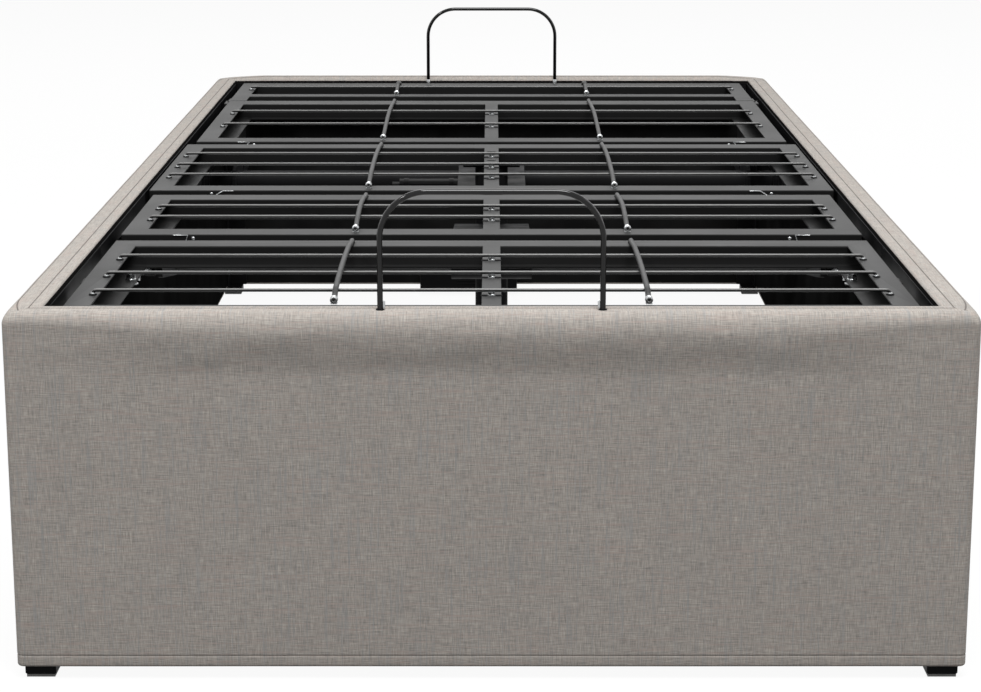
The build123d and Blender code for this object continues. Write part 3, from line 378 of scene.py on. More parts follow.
# Polyester spun and dyed to look like linen: slubby yarns of several warm greys, matt with a slight
# sheen. Yarns are about 0.5 mm apart. They are drawn 1.2 mm wide, so that they show in the render,
# with slubs 10 to 35 mm long both ways and a short dashed thread along the seams.
linen, tree, shader = start_material("Woven linen-look polyester", "#9d9893", 0.95)
shader.inputs["Sheen Weight"].default_value = 0.06
shader.inputs["Sheen Roughness"].default_value = 0.5
shader.inputs["Specular IOR Level"].default_value = 0.1
flat = add(tree, "UVMap", uv_map="weave").outputs["UV"]
yarns = []
for scale, lean, detail in (((38, 800, 1), 0.013, 2.0), ((800, 42, 1), -0.011, 2.0),
                            ((95, 1500, 1), -0.02, 1.0), ((1500, 105, 1), 0.017, 1.0),
                            ((14, 420, 1), 0.006, 1.0), ((420, 12, 1), -0.008, 1.0)):
    drawn = add(tree, "Mapping", {"Vector": flat, "Scale": scale, "Rotation": (0, 0, lean)})
    yarns.append(add(tree, "TexNoise", {"Vector": drawn.outputs["Vector"], "Scale": 1.0,
                                        "Detail": detail}).outputs["Fac"])
weft = add(tree, "Math", {0: yarns[0], 1: yarns[2]}, operation="ADD").outputs["Value"]
warp = add(tree, "Math", {0: yarns[1], 1: yarns[3]}, operation="ADD").outputs["Value"]
crossed = add(tree, "Math", {0: weft, 1: warp}, operation="ADD").outputs["Value"]
shade = add(tree, "MapRange", {"Value": crossed, "From Min": 1.5, "From Max": 2.5}).outputs["Result"]
yarn = add(tree, "MixRGB", {"Fac": shade, "Color1": linear("#7f7b77"), "Color2": linear("#b9b2aa")})
warm = add(tree, "MapRange", {"Value": yarns[4], "From Min": 0.5, "From Max": 0.75, "To Max": 0.5})
yarn = add(tree, "MixRGB", {"Fac": warm.outputs["Result"], "Color1": yarn.outputs["Color"],
                            "Color2": linear("#a8968e")})
cool = add(tree, "MapRange", {"Value": yarns[5], "From Min": 0.5, "From Max": 0.75, "To Max": 0.5})
yarn = add(tree, "MixRGB", {"Fac": cool.outputs["Result"], "Color1": yarn.outputs["Color"],
                            "Color2": linear("#8d9193")})
cloud = add(tree, "TexNoise", {"Vector": flat, "Scale": 1 / 0.11, "Detail": 3.0}).outputs["Fac"]
patch = add(tree, "MapRange", {"Value": cloud, "From Min": 0.35, "From Max": 0.7, "To Max": 0.12})
yarn = add(tree, "MixRGB", {"Fac": patch.outputs["Result"], "Color1": yarn.outputs["Color"],
                            "Color2": linear("#827d79")})
along = add(tree, "SeparateXYZ", {"Vector": flat})
dashes = add(tree, "Math", {0: add(tree, "Math", {0: along.outputs["X"], 1: 1 / 0.0045},
                                   operation="MULTIPLY").outputs["Value"]}, operation="FRACT")
stitch = add(tree, "Math", {0: dashes.outputs["Value"], 1: 0.3}, operation="GREATER_THAN")
seam = add(tree, "Attribute", attribute_name="thread").outputs["Fac"]
dark = add(tree, "MapRange", {"Value": seam, "From Max": 0.8, "To Max": 0.9}).outputs["Result"]
dark = add(tree, "Math", {0: dark, 1: add(tree, "MapRange", {"Value": stitch.outputs["Value"],
                                                             "To Min": 1.0, "To Max": 0.8})
                          .outputs["Result"]}, operation="MULTIPLY")
cloth = add(tree, "MixRGB", {"Fac": dark.outputs["Value"], "Color1": yarn.outputs["Color"],
                             "Color2": linear("#4b4643")})
tree.links.new(cloth.outputs["Color"], shader.inputs["Base Color"])
raised = add(tree, "Bump", {"Height": crossed, "Strength": 0.3, "Distance": 0.0004})
tree.links.new(raised.outputs["Normal"], shader.inputs["Normal"])

covers = {}
for seed, wall in enumerate(("foot", "head", "left", "right")):
    covers[wall] = sew_cover(wall, 3.3 * seed)
    covers[wall].data.materials.append(linen)

# Two holes are punched through the foot end's rim for the retainer bar's legs.
activate(covers["foot"])
for side in (-1, 1):
    bpy.ops.mesh.primitive_cylinder_add(vertices=24, radius=0.0035, depth=0.03,
                                        location=(side * 0.12185, -1.048, 0.42))
    punch = bpy.context.active_object
    activate(covers["foot"])
    cut = covers["foot"].modifiers.new("punch", "BOOLEAN")
    cut.object = punch
    cut.operation = "DIFFERENCE"
    bpy.ops.object.modifier_apply(modifier="punch")
    bpy.data.objects.remove(punch)

# The cloth ends inside the rim under black lining, behind a steel strip that is screwed to the rail.
lining, tree, shader = start_material("Black spunbonded lining", "#141313", 0.95)
spot = add(tree, "TexCoord").outputs["Object"]
fibre = add(tree, "TexNoise", {"Vector": spot, "Scale": 1 / 0.0016, "Detail": 2.0}).outputs["Fac"]
raised = add(tree, "Bump", {"Height": fibre, "Strength": 0.3, "Distance": 0.0002})
tree.links.new(raised.outputs["Normal"], shader.inputs["Normal"])
shader.inputs["Specular IOR Level"].default_value = 0.02
for wall, piece in covers.items():
    piece.data.materials.append(lining)
    (at_x, at_y), (in_x, in_y) = wall_place[wall]
    for face in piece.data.polygons:
        middle = face.center
        depth = (middle.x / MM - at_x) * in_x + (middle.y / MM - at_y) * in_y
        if depth > 38.6 and middle.z < 0.4208:
            face.material_index = 1
    smooth(piece, 40)
    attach(piece, "base")
    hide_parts(wall + "_cover")

# Steelwork: corner angles, chassis rails, seat brackets, tube bearings, drive brackets and centre leg.
# They are pressed or cut from sheet and tube, welded, then powder coated dark grey.

# Powder coat: a satin dark grey film with an orange-peel skin of about 1.5 mm.
chassis_coat, tree, shader = start_material("Dark powder-coated steel", "#1b1b1c", 0.5)
shader.inputs["Specular IOR Level"].default_value = 0.02
spot = add(tree, "TexCoord").outputs["Object"]
peel = add(tree, "TexNoise", {"Vector": spot, "Scale": 1 / 0.0015, "Detail": 2.0}).outputs["Fac"]
haze = add(tree, "TexNoise", {"Vector": spot, "Scale": 1 / 0.12, "Detail": 3.0}).outputs["Fac"]
satin = add(tree, "MapRange", {"Value": haze, "From Min": 0.3, "From Max": 0.7, "To Min": 0.36,
                               "To Max": 0.5})
tree.links.new(satin.outputs["Result"], shader.inputs["Roughness"])
raised = add(tree, "Bump", {"Height": peel, "Strength": 0.2, "Distance": 0.0002})
tree.links.new(raised.outputs["Normal"], shader.inputs["Normal"])

# The deck's own coat is flatter. Its colour holds painted shade: lighter grey on the bars' tops and near-black
# down their sides and undersides, which stands in for the shade inside the bed.
deck_coat, tree, shader = start_material("Grey powder-coated steel", "#343434", 0.5)
shader.inputs["Specular IOR Level"].default_value = 0.06
spot = add(tree, "TexCoord").outputs["Object"]
peel = add(tree, "TexNoise", {"Vector": spot, "Scale": 1 / 0.0015, "Detail": 2.0}).outputs["Fac"]
haze = add(tree, "TexNoise", {"Vector": spot, "Scale": 1 / 0.15, "Detail": 3.0}).outputs["Fac"]
satin = add(tree, "MapRange", {"Value": haze, "From Min": 0.3, "From Max": 0.7, "To Min": 0.4,
                               "To Max": 0.52})
tree.links.new(satin.outputs["Result"], shader.inputs["Roughness"])
tint = add(tree, "MixRGB", {"Fac": add(tree, "MapRange", {"Value": haze, "From Min": 0.35,
                                                          "From Max": 0.65}).outputs["Result"],
                            "Color1": linear("#313131"), "Color2": linear("#383838")})
rise = add(tree, "SeparateXYZ", {"Vector": spot}).outputs["Z"]
# Painted shade: below the deck's top faces the coat is coloured near-black.
top = add(tree, "MapRange", {"Value": rise, "From Min": 0.4158, "From Max": 0.4176}).outputs["Result"]
tint = add(tree, "MixRGB", {"Fac": top, "Color1": linear("#191919"), "Color2": tint.outputs["Color"]})
tree.links.new(tint.outputs["Color"], shader.inputs["Base Color"])
raised = add(tree, "Bump", {"Height": peel, "Strength": 0.2, "Distance": 0.0002})
tree.links.new(raised.outputs["Normal"], shader.inputs["Normal"])


def fold(*nodes, width=0.0008):
    """Round the folded edges of CAD nodes' sheet metal a little."""
    for name in nodes:
        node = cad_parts[name]
        weld = node.modifiers.new("weld", "WELD")
        weld.merge_threshold = 0.00001
        edge = node.modifiers.new("edge", "BEVEL")
        edge.width = width
        edge.segments = 2
        edge.limit_method = "ANGLE"
        edge.angle_limit = radians(32)


coat(chassis_coat, "corner_posts", "chassis_rails", "seat_brackets", "centre_leg", "tube_bearings",
     "drive_brackets", "back_torsion_tube", "leg_torsion_tube", "back_lift_arms", "leg_lift_arms",
     "calf_links", "head_hinge_pins")
coat(deck_coat, "seat_frame", "back_frame", "head_frame", "thigh_frame",
     "back_lift_rails", "thigh_lift_rails")
fold("corner_posts", "chassis_rails", "seat_brackets", "back_lift_rails", "thigh_lift_rails",
     "seat_frame", "back_frame", "head_frame", "thigh_frame")

# The calf section's foot bar is a flat bar on edge, hidden behind the rim, so the frame is drawn from
# the CAD one with that bar's inner side drawn in.
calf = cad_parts["calf_frame"]
low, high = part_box("calf_frame")
frame_copy = bpy.data.objects.new("calf_welded_frame", calf.data.copy())
bpy.context.scene.collection.objects.link(frame_copy)
activate(frame_copy)
bpy.ops.object.mode_set(mode="EDIT")
bpy.ops.mesh.select_all(action="SELECT")
bpy.ops.mesh.remove_doubles(threshold=0.00001)
bpy.ops.object.mode_set(mode="OBJECT")
for point in frame_copy.data.vertices:
    if low.y + 0.012 < point.co.y < low.y + 0.0415:
        point.co.y = low.y + 0.010 + (point.co.y - low.y - 0.012) * 0.06
round_edges(frame_copy, 0.0008, angle=32)
dress(frame_copy, deck_coat, "calf_section", "deck_steel", "calf_frame")

# Cross wires. Each is 4 mm hard-drawn steel wire, laid over the deck and bent down at its ends into a
# punched slot in the side rail, where a small turned collar holds it.

deck_top = 0.418
wire_height = 0.4235
wire_radius = 0.002
wire_bend = 0.0045
wire_places = {
    "calf": (0.453, (-944.892, -844.054, -740.040)),
    "thigh": (0.453, (-471.072, -388.992)),
    "seat": (0.474, (-119.888, -22.208, 82.132)),
    "back": (0.453, (413.9455, 572.2232)),
    "head": (0.453, (910.1092,)),
}


def round_bar(name, place, radius, sides, heading, path):
    """Draw a round bar from a disc, with straight runs and with bends about a centre."""
    bpy.ops.object.select_all(action="DESELECT")
    bpy.ops.mesh.primitive_circle_add(vertices=sides, radius=radius, fill_type="NGON", location=place,
                                      rotation=heading)
    piece = bpy.context.active_object
    piece.name = piece.data.name = name
    bpy.ops.object.mode_set(mode="EDIT")
    bpy.ops.mesh.select_mode(type="FACE")
    bpy.ops.mesh.select_all(action="SELECT")
    for step in path:
        if len(step) == 3:
            bpy.ops.mesh.extrude_region_move(TRANSFORM_OT_translate={"value": step})
        else:
            centre, axis, angle, steps = step
            bpy.ops.mesh.spin(steps=steps, angle=angle, center=centre, axis=axis)
    bpy.ops.mesh.select_all(action="SELECT")
    bpy.ops.mesh.remove_doubles(threshold=0.00001)
    bpy.ops.mesh.normals_make_consistent(inside=False)
    bpy.ops.object.mode_set(mode="OBJECT")
    bpy.ops.object.transform_apply(location=True, rotation=True, scale=True)
    return piece


# Spring wire under a thin dark coat. Its colour holds painted light: light grey along the top and near-black
# underneath, for light from above and shade below. Fine drawing marks run along it, 0.3 mm apart on the real
# wire, drawn 1 mm apart and long here, so they show.
wire_steel, tree, shader = start_material("Dark-coated drawn wire", "#5e5e5d", 0.3)
shader.inputs["Specular IOR Level"].default_value = 0.3
spot = add(tree, "TexCoord").outputs["Object"]
line = add(tree, "Mapping", {"Vector": spot, "Scale": (30, 900, 900)}).outputs["Vector"]
line = add(tree, "TexNoise", {"Vector": line, "Scale": 1.0, "Detail": 2.0}).outputs["Fac"]
shine = add(tree, "MapRange", {"Value": line, "From Min": 0.3, "From Max": 0.7, "To Min": 0.22,
                               "To Max": 0.4})
tree.links.new(shine.outputs["Result"], shader.inputs["Roughness"])
rise = add(tree, "SeparateXYZ", {"Vector": spot}).outputs["Z"]
# Painted light: lighter along the wire's top, near-black under it.
wear_and_painted_light = add(tree, "MapRange", {"Value": rise, "From Min": 0.4236, "From Max": 0.4252}).outputs["Result"]
tone = add(tree, "MixRGB", {"Fac": wear_and_painted_light, "Color1": linear("#161616"), "Color2": linear("#747473")})
tree.links.new(tone.outputs["Color"], shader.inputs["Base Color"])

bodies = {"calf": "calf_section", "thigh": "thigh_section", "seat": "base", "back": "back_section",
          "head": "head_section"}
for name, (reach, places) in wire_places.items():
    low = wire_height - wire_bend
    wire = round_bar(name + "_drawn_wires", (-reach, 0, deck_top - 0.0038), wire_radius, 12, (0, 0, 0), [
        (0, 0, low - deck_top + 0.0038),
        ((-reach + wire_bend, 0, low), (0, 1, 0), -pi / 2, 6),
        (reach - wire_bend, 0, 0),
        (reach - wire_bend, 0, 0),
        ((reach - wire_bend, 0, low), (0, 1, 0), -pi / 2, 6),
        (0, 0, -(low - deck_top + 0.0038)),
    ])
    repeat(wire, [(0, place * MM, 0) for place in places])
    dress(wire, wire_steel, bodies[name], "bright_wire", name + "_wires")

# Rim strips. Lengths of thin dark-coated steel angle, screwed along the inside of each rim rail, clamp
# the cloth's edge and its lining. Each shows as a dark band with a light top edge beside the deck.


strip_top, strip_base, strip_sheet, strip_lip = 0.4150, 0.3955, 0.0008, 0.0006
strip_lines = {
    "left": ((-0.4939, 0), (0, 1), (-1.0245, -0.632, -0.2325, 0.2165, 0.7485, 1.0245)),
    "right": ((0.4939, 0), (0, -1), (-1.0245, -0.7485, -0.2165, 0.2325, 0.632, 1.0245)),
    "foot": ((0, -1.0239), (-1, 0), (-0.4930, 0, 0.4930)),
    "head": ((0, 1.0239), (1, 0), (-0.4930, 0, 0.4930)),
}
for name, ((line_x, line_y), (run_x, run_y), breaks) in strip_lines.items():
    lengths = []
    for first, last in zip(breaks, breaks[1:]):
        middle, half = (first + last) / 2, (last - first) / 2 - 0.0008
        at = (line_x + run_x * middle, line_y + run_y * middle, (strip_top + strip_base) / 2)
        strip = start_piece(name + "_length", bpy.ops.mesh.primitive_cube_add, size=1, location=at,
                            scale=(abs(run_x) * 2 * half + abs(run_y) * strip_sheet,
                                   abs(run_y) * 2 * half + abs(run_x) * strip_sheet,
                                   strip_top - strip_base))
        pick_faces(strip, lambda centre, normal: normal.z > 0.9)
        bpy.ops.mesh.extrude_region_move(TRANSFORM_OT_translate={"value": (0, 0, strip_sheet)})
        inward = Vector((-line_x, -line_y, 0)).normalized()
        pick_faces(strip, lambda centre, normal: normal.dot(inward) > 0.9 and centre.z > strip_top)
        bpy.ops.mesh.extrude_region_move(TRANSFORM_OT_translate={"value": inward * strip_lip})
        lengths.append(round_edges(strip, 0.0004))
    strip = join(name + "_rim_strip", *lengths)
    dress(strip, chassis_coat, "base", "chassis_steel")

# Long rods. Two 6.5 mm spring steel rods run along each section over the wires and carry the mattress.
# Each is hooked down through the far bar and held in a ferrule at the near bar, a little bowed up.

rod_radius, rod_bend, rod_across = 0.00325, 0.005, 0.176
rod_low, rod_high, rod_end, rod_bow = 0.4228, 0.4288, 0.4216, 0.0026
rod_ends = {"calf": (-0.996, -0.629), "thigh": (-0.558, -0.284), "seat": (-0.2155, 0.198),
            "back": (0.2585, 0.7353), "head": (0.8235, 0.996)}

# Dark grey coated spring steel, a little smoother than the frames, with faint lengthwise streaks.
rod_steel, tree, shader = start_material("Grey-coated spring steel", "#1f1f1f", 0.42)
shader.inputs["Specular IOR Level"].default_value = 0.14
spot = add(tree, "TexCoord").outputs["Object"]
line = add(tree, "Mapping", {"Vector": spot, "Scale": (700, 25, 700)}).outputs["Vector"]
line = add(tree, "TexNoise", {"Vector": line, "Scale": 1.0, "Detail": 2.0}).outputs["Fac"]
tone = add(tree, "MapRange", {"Value": line, "From Min": 0.35, "From Max": 0.65}).outputs["Result"]
tone = add(tree, "MixRGB", {"Fac": tone, "Color1": linear("#1c1c1c"), "Color2": linear("#272727")})
tree.links.new(tone.outputs["Color"], shader.inputs["Base Color"])

for name, (near, far) in rod_ends.items():
    places = wire_places[name][1]
    first, last = places[0] * MM, places[-1] * MM
    ramp, flat = near + 0.010, max(near + 0.030, first - 0.012)
    runs, height, along = [(0, ramp - near, 0)], rod_low, ramp
    for step in range(1, 9):
        rise = step / 8
        there = rod_low + (rod_high - rod_low) * rise * rise * (3 - 2 * rise)
        runs.append((0, (flat - ramp) / 8, there - height))
        height = there
    fall = last + 0.010
    for step in range(1, 13):
        share = step / 12
        there = rod_high + rod_bow * 4 * share * (1 - share)
        runs.append((0, (fall - flat) / 12, there - height))
        height = there
    for step in range(1, 9):
        share = step / 8
        there = rod_high - (rod_high - rod_end) * share * share * (3 - 2 * share)
        runs.append((0, (far - rod_bend - fall) / 8, there - height))
        height = there
    runs.append(((rod_across, far - rod_bend, rod_end - rod_bend), (1, 0, 0), pi / 2, 7))
    runs.append((0, 0, -0.0046))
    rod = round_bar(name + "_bowed_rods", (rod_across, near, rod_low), rod_radius, 14, (pi / 2, 0, 0), runs)
    repeat(rod, [(0, 0, 0), (0, 0, 0, "other side")])
    dress(rod, rod_steel, bodies[name], "bright_wire", name + "_rods")

# Wire and rod fittings. Turned collars hold the wires' ends in their slots, bent saddle clips hold the
# wires on the spine, and a flanged ferrule on a foot takes each rod's near end. All are zinc plated.

# Bright zinc plate: a blue-white metal, fairly smooth, with soft cloudy spangle of about 3 mm.
zinc, tree, shader = start_material("Bright zinc plate", "#b4b6b7", 0.24, metallic=1.0)
spot = add(tree, "TexCoord").outputs["Object"]
spangle = add(tree, "TexVoronoi", {"Vector": spot, "Scale": 1 / 0.003}).outputs["Distance"]
shine = add(tree, "MapRange", {"Value": spangle, "From Max": 0.8, "To Min": 0.18, "To Max": 0.34})
tree.links.new(shine.outputs["Result"], shader.inputs["Roughness"])

# Moulded black nylon and ABS: a deep, slightly grey black with a fine eroded grain, drawn 0.8 mm wide.
moulded, tree, shader = start_material("Moulded black plastic", "#131314", 0.7)
shader.inputs["Specular IOR Level"].default_value = 0.04
spot = add(tree, "TexCoord").outputs["Object"]
grain = add(tree, "TexNoise", {"Vector": spot, "Scale": 1 / 0.0008, "Detail": 2.0}).outputs["Fac"]
scuff = add(tree, "TexNoise", {"Vector": spot, "Scale": 1 / 0.03, "Detail": 4.0}).outputs["Fac"]
dull = add(tree, "MapRange", {"Value": scuff, "From Min": 0.35, "From Max": 0.7, "To Min": 0.42,
                              "To Max": 0.6})
tree.links.new(dull.outputs["Result"], shader.inputs["Roughness"])
raised = add(tree, "Bump", {"Height": grain, "Strength": 0.3, "Distance": 0.00015})
tree.links.new(raised.outputs["Normal"], shader.inputs["Normal"])

spine_sections = ("calf", "thigh", "seat", "back")
for name, (reach, places) in wire_places.items():
    collar = start_piece(name + "_collar", bpy.ops.mesh.primitive_cylinder_add, vertices=16,
                         radius=0.0028, depth=0.0010, location=(reach, 0, deck_top + 0.0015))
    pick_faces(collar, lambda middle, normal: normal.z > 0.9)
    bpy.ops.mesh.inset(thickness=0.0004)
    bpy.ops.mesh.extrude_region_move(TRANSFORM_OT_translate={"value": (0, 0, 0.0012)})
    round_edges(collar, 0.0002)
    repeat(collar, [(0, place * MM, 0) for place in places]
           + [(0, place * MM, 0, "other side") for place in places])
    made = [collar]
    if name in spine_sections:
        clip = start_piece(name + "_clip", bpy.ops.mesh.primitive_cube_add, size=1,
                           scale=(0.008, 0.0062, 0.0008), location=(0, -0.0042, deck_top + 0.0005))
        pick_faces(clip, lambda middle, normal: normal.y > 0.9)
        bpy.ops.mesh.extrude_region_move(TRANSFORM_OT_translate={"value": (0, 0.0012, 0.0008)})
        bpy.ops.mesh.extrude_region_move(TRANSFORM_OT_translate={"value": (0, 0.0009, 0.0012)})
        bpy.ops.mesh.extrude_region_move(TRANSFORM_OT_translate={"value": (0, 0.0002, 0.0014)})
        round_edges(clip, 0.0002)
        screw = start_piece(name + "_clip_screw", bpy.ops.mesh.primitive_cylinder_add, vertices=12,
                            radius=0.0019, depth=0.0008, location=(0.0012, -0.0048, deck_top + 0.0012))
        pick_faces(screw, lambda middle, normal: normal.z > 0.9)
        bpy.ops.mesh.inset(thickness=0.0006)
        bpy.ops.transform.translate(value=(0, 0, 0.0006))
        bpy.ops.mesh.inset(thickness=0.0007)
        bpy.ops.transform.translate(value=(0, 0, -0.0005))
        round_edges(screw, 0.0001)
        clip = join(name + "_clip", clip, screw)
        repeat(clip, [(0, place * MM, 0) for place in places])
        made.append(clip)
    near = rod_ends[name][0]
    ferrule = start_piece(name + "_ferrule", bpy.ops.mesh.primitive_cylinder_add, vertices=20,
                          radius=0.0044, depth=0.0013, rotation=(pi / 2, 0, 0),
                          location=(rod_across, near + 0.0012, rod_low))
    pick_faces(ferrule, lambda middle, normal: normal.y > 0.9)
    bpy.ops.mesh.inset(thickness=0.0009)
    bpy.ops.mesh.extrude_region_move(TRANSFORM_OT_translate={"value": (0, 0.0040, 0)})
    bpy.ops.mesh.extrude_region_move(TRANSFORM_OT_translate={"value": (0, 0.0003, 0)})
    bpy.ops.transform.resize(value=(1.2, 1, 1.2))
    bpy.ops.mesh.extrude_region_move(TRANSFORM_OT_translate={"value": (0, 0.0012, 0)})
    pick_faces(ferrule, lambda middle, normal: normal.y < -0.9)
    bpy.ops.mesh.inset(thickness=0.0012)
    bpy.ops.transform.translate(value=(0, -0.0006, 0))
    bpy.ops.mesh.inset(thickness=0.0015)
    bpy.ops.mesh.extrude_region_move(TRANSFORM_OT_translate={"value": (0, 0.0009, 0)})
    round_edges(ferrule, 0.0002)
    foot = start_piece(name + "_ferrule_foot", bpy.ops.mesh.primitive_cube_add, size=1,
                       scale=(0.0075, 0.0085, 0.0012),
                       location=(rod_across, near + 0.0045, deck_top + 0.0006))
    round_edges(foot, 0.0004)
    ferrule = join(name + "_ferrule", ferrule, foot)
    repeat(ferrule, [(0, 0, 0), (0, 0, 0, "other side")])
    made.append(ferrule)
    fitting = join(name + "_fittings", *made)
    dress(fitting, zinc, bodies[name], "zinc", name + ("_clips" if name in spine_sections else "_ferrules"))
    grommet = start_piece(name + "_grommets", bpy.ops.mesh.primitive_cylinder_add, vertices=16,
                          radius=0.0048, depth=0.0010, location=(reach, 0, deck_top + 0.0005))
    pick_faces(grommet, lambda middle, normal: normal.z > 0.9)
    bpy.ops.mesh.inset(thickness=0.0008)
    bpy.ops.mesh.extrude_region_move(TRANSFORM_OT_translate={"value": (0, 0, 0.0005)})
    round_edges(grommet, 0.0002)
    moves = [(0, place * MM, 0) for place in places]
    if name in spine_sections:
        moves += [(0.0075 - reach, place * MM - 0.003, -0.0006) for place in places]
    repeat(grommet, moves + [(*move, "other side") for move in moves])
    plug = start_piece(name + "_plug", bpy.ops.mesh.primitive_cylinder_add, vertices=14, radius=0.0016,
                       depth=0.0012, rotation=(pi / 2, 0, 0), location=(rod_across, near + 0.0006, rod_low))
    pick_faces(plug, lambda middle, normal: normal.y < -0.9)
    bpy.ops.mesh.inset(thickness=0.0008)
    bpy.ops.transform.translate(value=(0, 0.0003, 0))
    round_edges(plug, 0.0001)
    repeat(plug, [(0, 0, 0), (0, 0, 0, "other side")])
    grommet = join(name + "_grommets", grommet, plug)
    dress(grommet, moulded, bodies[name], "black_plastic")

# Retainer bars. Each is a 6.3 mm steel bar bent to a square arch with 52 mm corners and enamelled gloss
# black. The foot one drops into two holes in the rim, with a tab on each leg that stops it there, and
# the head one stands in two collars inside the rim.
black_enamel, tree, shader = start_material("Gloss black enamel on steel", "#030303", 0.08)
shader.inputs["Specular IOR Level"].default_value = 0.36
spot = add(tree, "TexCoord").outputs["Object"]
runs = add(tree, "TexNoise", {"Vector": spot, "Scale": 1 / 0.006, "Detail": 2.0}).outputs["Fac"]
gloss = add(tree, "MapRange", {"Value": runs, "From Min": 0.3, "From Max": 0.7, "To Min": 0.05,
                               "To Max": 0.11})
tree.links.new(gloss.outputs["Result"], shader.inputs["Roughness"])
raised = add(tree, "Bump", {"Height": runs, "Strength": 0.08, "Distance": 0.0003})
tree.links.new(raised.outputs["Normal"], shader.inputs["Normal"])

leg_across, arch_radius = 0.12185, 0.052
for name, along, base in (("foot", -1.048, 0.406), ("head", 1.02045, 0.4116)):
    shoulder = base + 0.151 - 0.00315 - arch_radius
    arch = round_bar(name + "_bent_bar", (-leg_across, along, base), 0.00315, 16, (0, 0, 0), [
        (0, 0, shoulder - base),
        ((-leg_across + arch_radius, along, shoulder), (0, 1, 0), -pi / 2, 14),
        (2 * (leg_across - arch_radius), 0, 0),
        ((leg_across - arch_radius, along, shoulder), (0, 1, 0), -pi / 2, 14),
        (0, 0, base - shoulder),
    ])
    dress(arch, black_enamel, "base", "black_bar", name + "_retainer")

leg_radius = 0.00315
tab = start_piece("retainer_tabs", bpy.ops.mesh.primitive_cube_add, size=1, scale=(0.0024, 0.003, 0.009),
                  location=(-leg_across + leg_radius + 0.0012, -1.048, 0.4277))
pick_faces(tab, lambda middle, normal: normal.z > 0.9)
bpy.ops.mesh.extrude_region_move(TRANSFORM_OT_translate={"value": (0, 0, 0.0016)})
bpy.ops.transform.resize(value=(0.5, 0.6, 1))
round_edges(tab, 0.0004)
collar = start_piece("retainer_collar", bpy.ops.mesh.primitive_cylinder_add, vertices=20,
                     radius=leg_radius + 0.0007, depth=0.0124, location=(-leg_across, 1.02045, 0.4178))
pick_faces(collar, lambda middle, normal: normal.z > 0.9)
bpy.ops.mesh.inset(thickness=0.0003)
bpy.ops.mesh.extrude_region_move(TRANSFORM_OT_translate={"value": (0, 0, 0.0006)})
round_edges(collar, 0.0001)
fixing = join("retainer_fixings", tab, collar)
repeat(fixing, [(0, 0, 0), (0, 0, 0, "other side")])
dress(fixing, zinc, "base", "zinc", "retainer_brackets")

bpy.ops.object.select_all(action="DESELECT")
bpy.ops.mesh.primitive_torus_add(major_radius=leg_radius + 0.0006, minor_radius=0.0010, major_segments=20,
                                 minor_segments=8, location=(-leg_across, -1.048, 0.4237))
eyelet = bpy.context.active_object
bpy.ops.object.transform_apply(location=True, rotation=True, scale=True)
eyelet.name = eyelet.data.name = "rim_eyelets"
repeat(eyelet, [(0, 0, 0), (0, 0, 0, "other side")])
dress(eyelet, moulded, "base", "black_plastic")

# Hinge bolts and lift gear. Zinc-plated bolts turn in the ears, rollers and bushes are black nylon.
# The welded arms and tubes have the frames' dark coat.
coat(zinc, "seat_hinge_pins", "link_anchor_pins", "knee_pins")
fold("seat_hinge_pins", "link_anchor_pins", "head_hinge_pins", "knee_pins", width=0.0004)



def hexagon_bolt(name, radius, height, place, heading):
    """Make a bolt's hexagon head on its washer, at a place on the side it is seen from."""
    washer = start_piece(name + "_washer", bpy.ops.mesh.primitive_cylinder_add, vertices=20,
                         radius=radius * 1.25, depth=0.0012, rotation=heading)
    round_edges(washer, 0.0002)
    bolt = start_piece(name, bpy.ops.mesh.primitive_cylinder_add, vertices=6, radius=radius, depth=height,
                       rotation=heading)
    out = Matrix.Rotation(heading[1], 3, "Y") @ Vector((0, 0, 1))
    pick_faces(bolt, lambda middle, normal: normal.dot(out) > 0.9)
    bpy.ops.mesh.inset(thickness=radius * 0.16)
    bpy.ops.transform.translate(value=out * radius * 0.08)
    bpy.ops.mesh.inset(thickness=radius * 0.3)
    bpy.ops.transform.translate(value=-out * radius * 0.1)
    round_edges(bolt, 0.0002)
    bolt.data.transform(Matrix.Translation(out * (0.0012 + height / 2)))
    washer.data.transform(Matrix.Translation(out * 0.0006))
    bolt = join(name, bolt, washer)
    bolt.data.transform(Matrix.Translation(place))
    return bolt


upright, inward = (0, 0, 0), (0, -pi / 2, 0)
bolt = hexagon_bolt("bearing_bolts", 0.0050, 0.0045, (0.487, 0, 0), inward)
repeat(bolt, [(0, along + 0.0225 * way, up + 0.0225 * lift, *side) for along, up in
              ((0.4411, 0.3229), (-0.3687, 0.3472)) for way in (-1, 1) for lift in (-1, 1)
              for side in ((), ("other side",))])
dress(bolt, zinc, "base", "zinc")
bolt = hexagon_bolt("seat_bracket_bolts", 0.0060, 0.0050, (0.488, 0, 0.360), inward)
repeat(bolt, [(0, along + off, 0, *side) for along in (-0.1767, -0.0213, 0.1607) for off in (-0.01, 0.01)
              for side in ((), ("other side",))])
dress(bolt, zinc, "base", "zinc")
stud = hexagon_bolt("calf_stud", 0.0070, 0.0055, (0.440, -0.742, 0.3885), upright)
pick_faces(stud, lambda middle, normal: normal.z > 0.9 and middle.z > 0.3945)
bpy.ops.mesh.extrude_region_move(TRANSFORM_OT_translate={"value": (0, 0, 0.0060)})
bpy.ops.object.mode_set(mode="OBJECT")
plate = hexagon_bolt("calf_plate_bolt", 0.0060, 0.0050, (0.4745, -0.8525, 0.402), inward)
flat = hexagon_bolt("calf_flat_bolt", 0.0080, 0.0012, (0.436, -0.664, 0.3885), upright)
stud = join("calf_frame_bolts", stud, plate, flat)
repeat(stud, [(0, 0, 0), (0, 0, 0, "other side")])
dress(stud, zinc, "calf_section", "zinc")

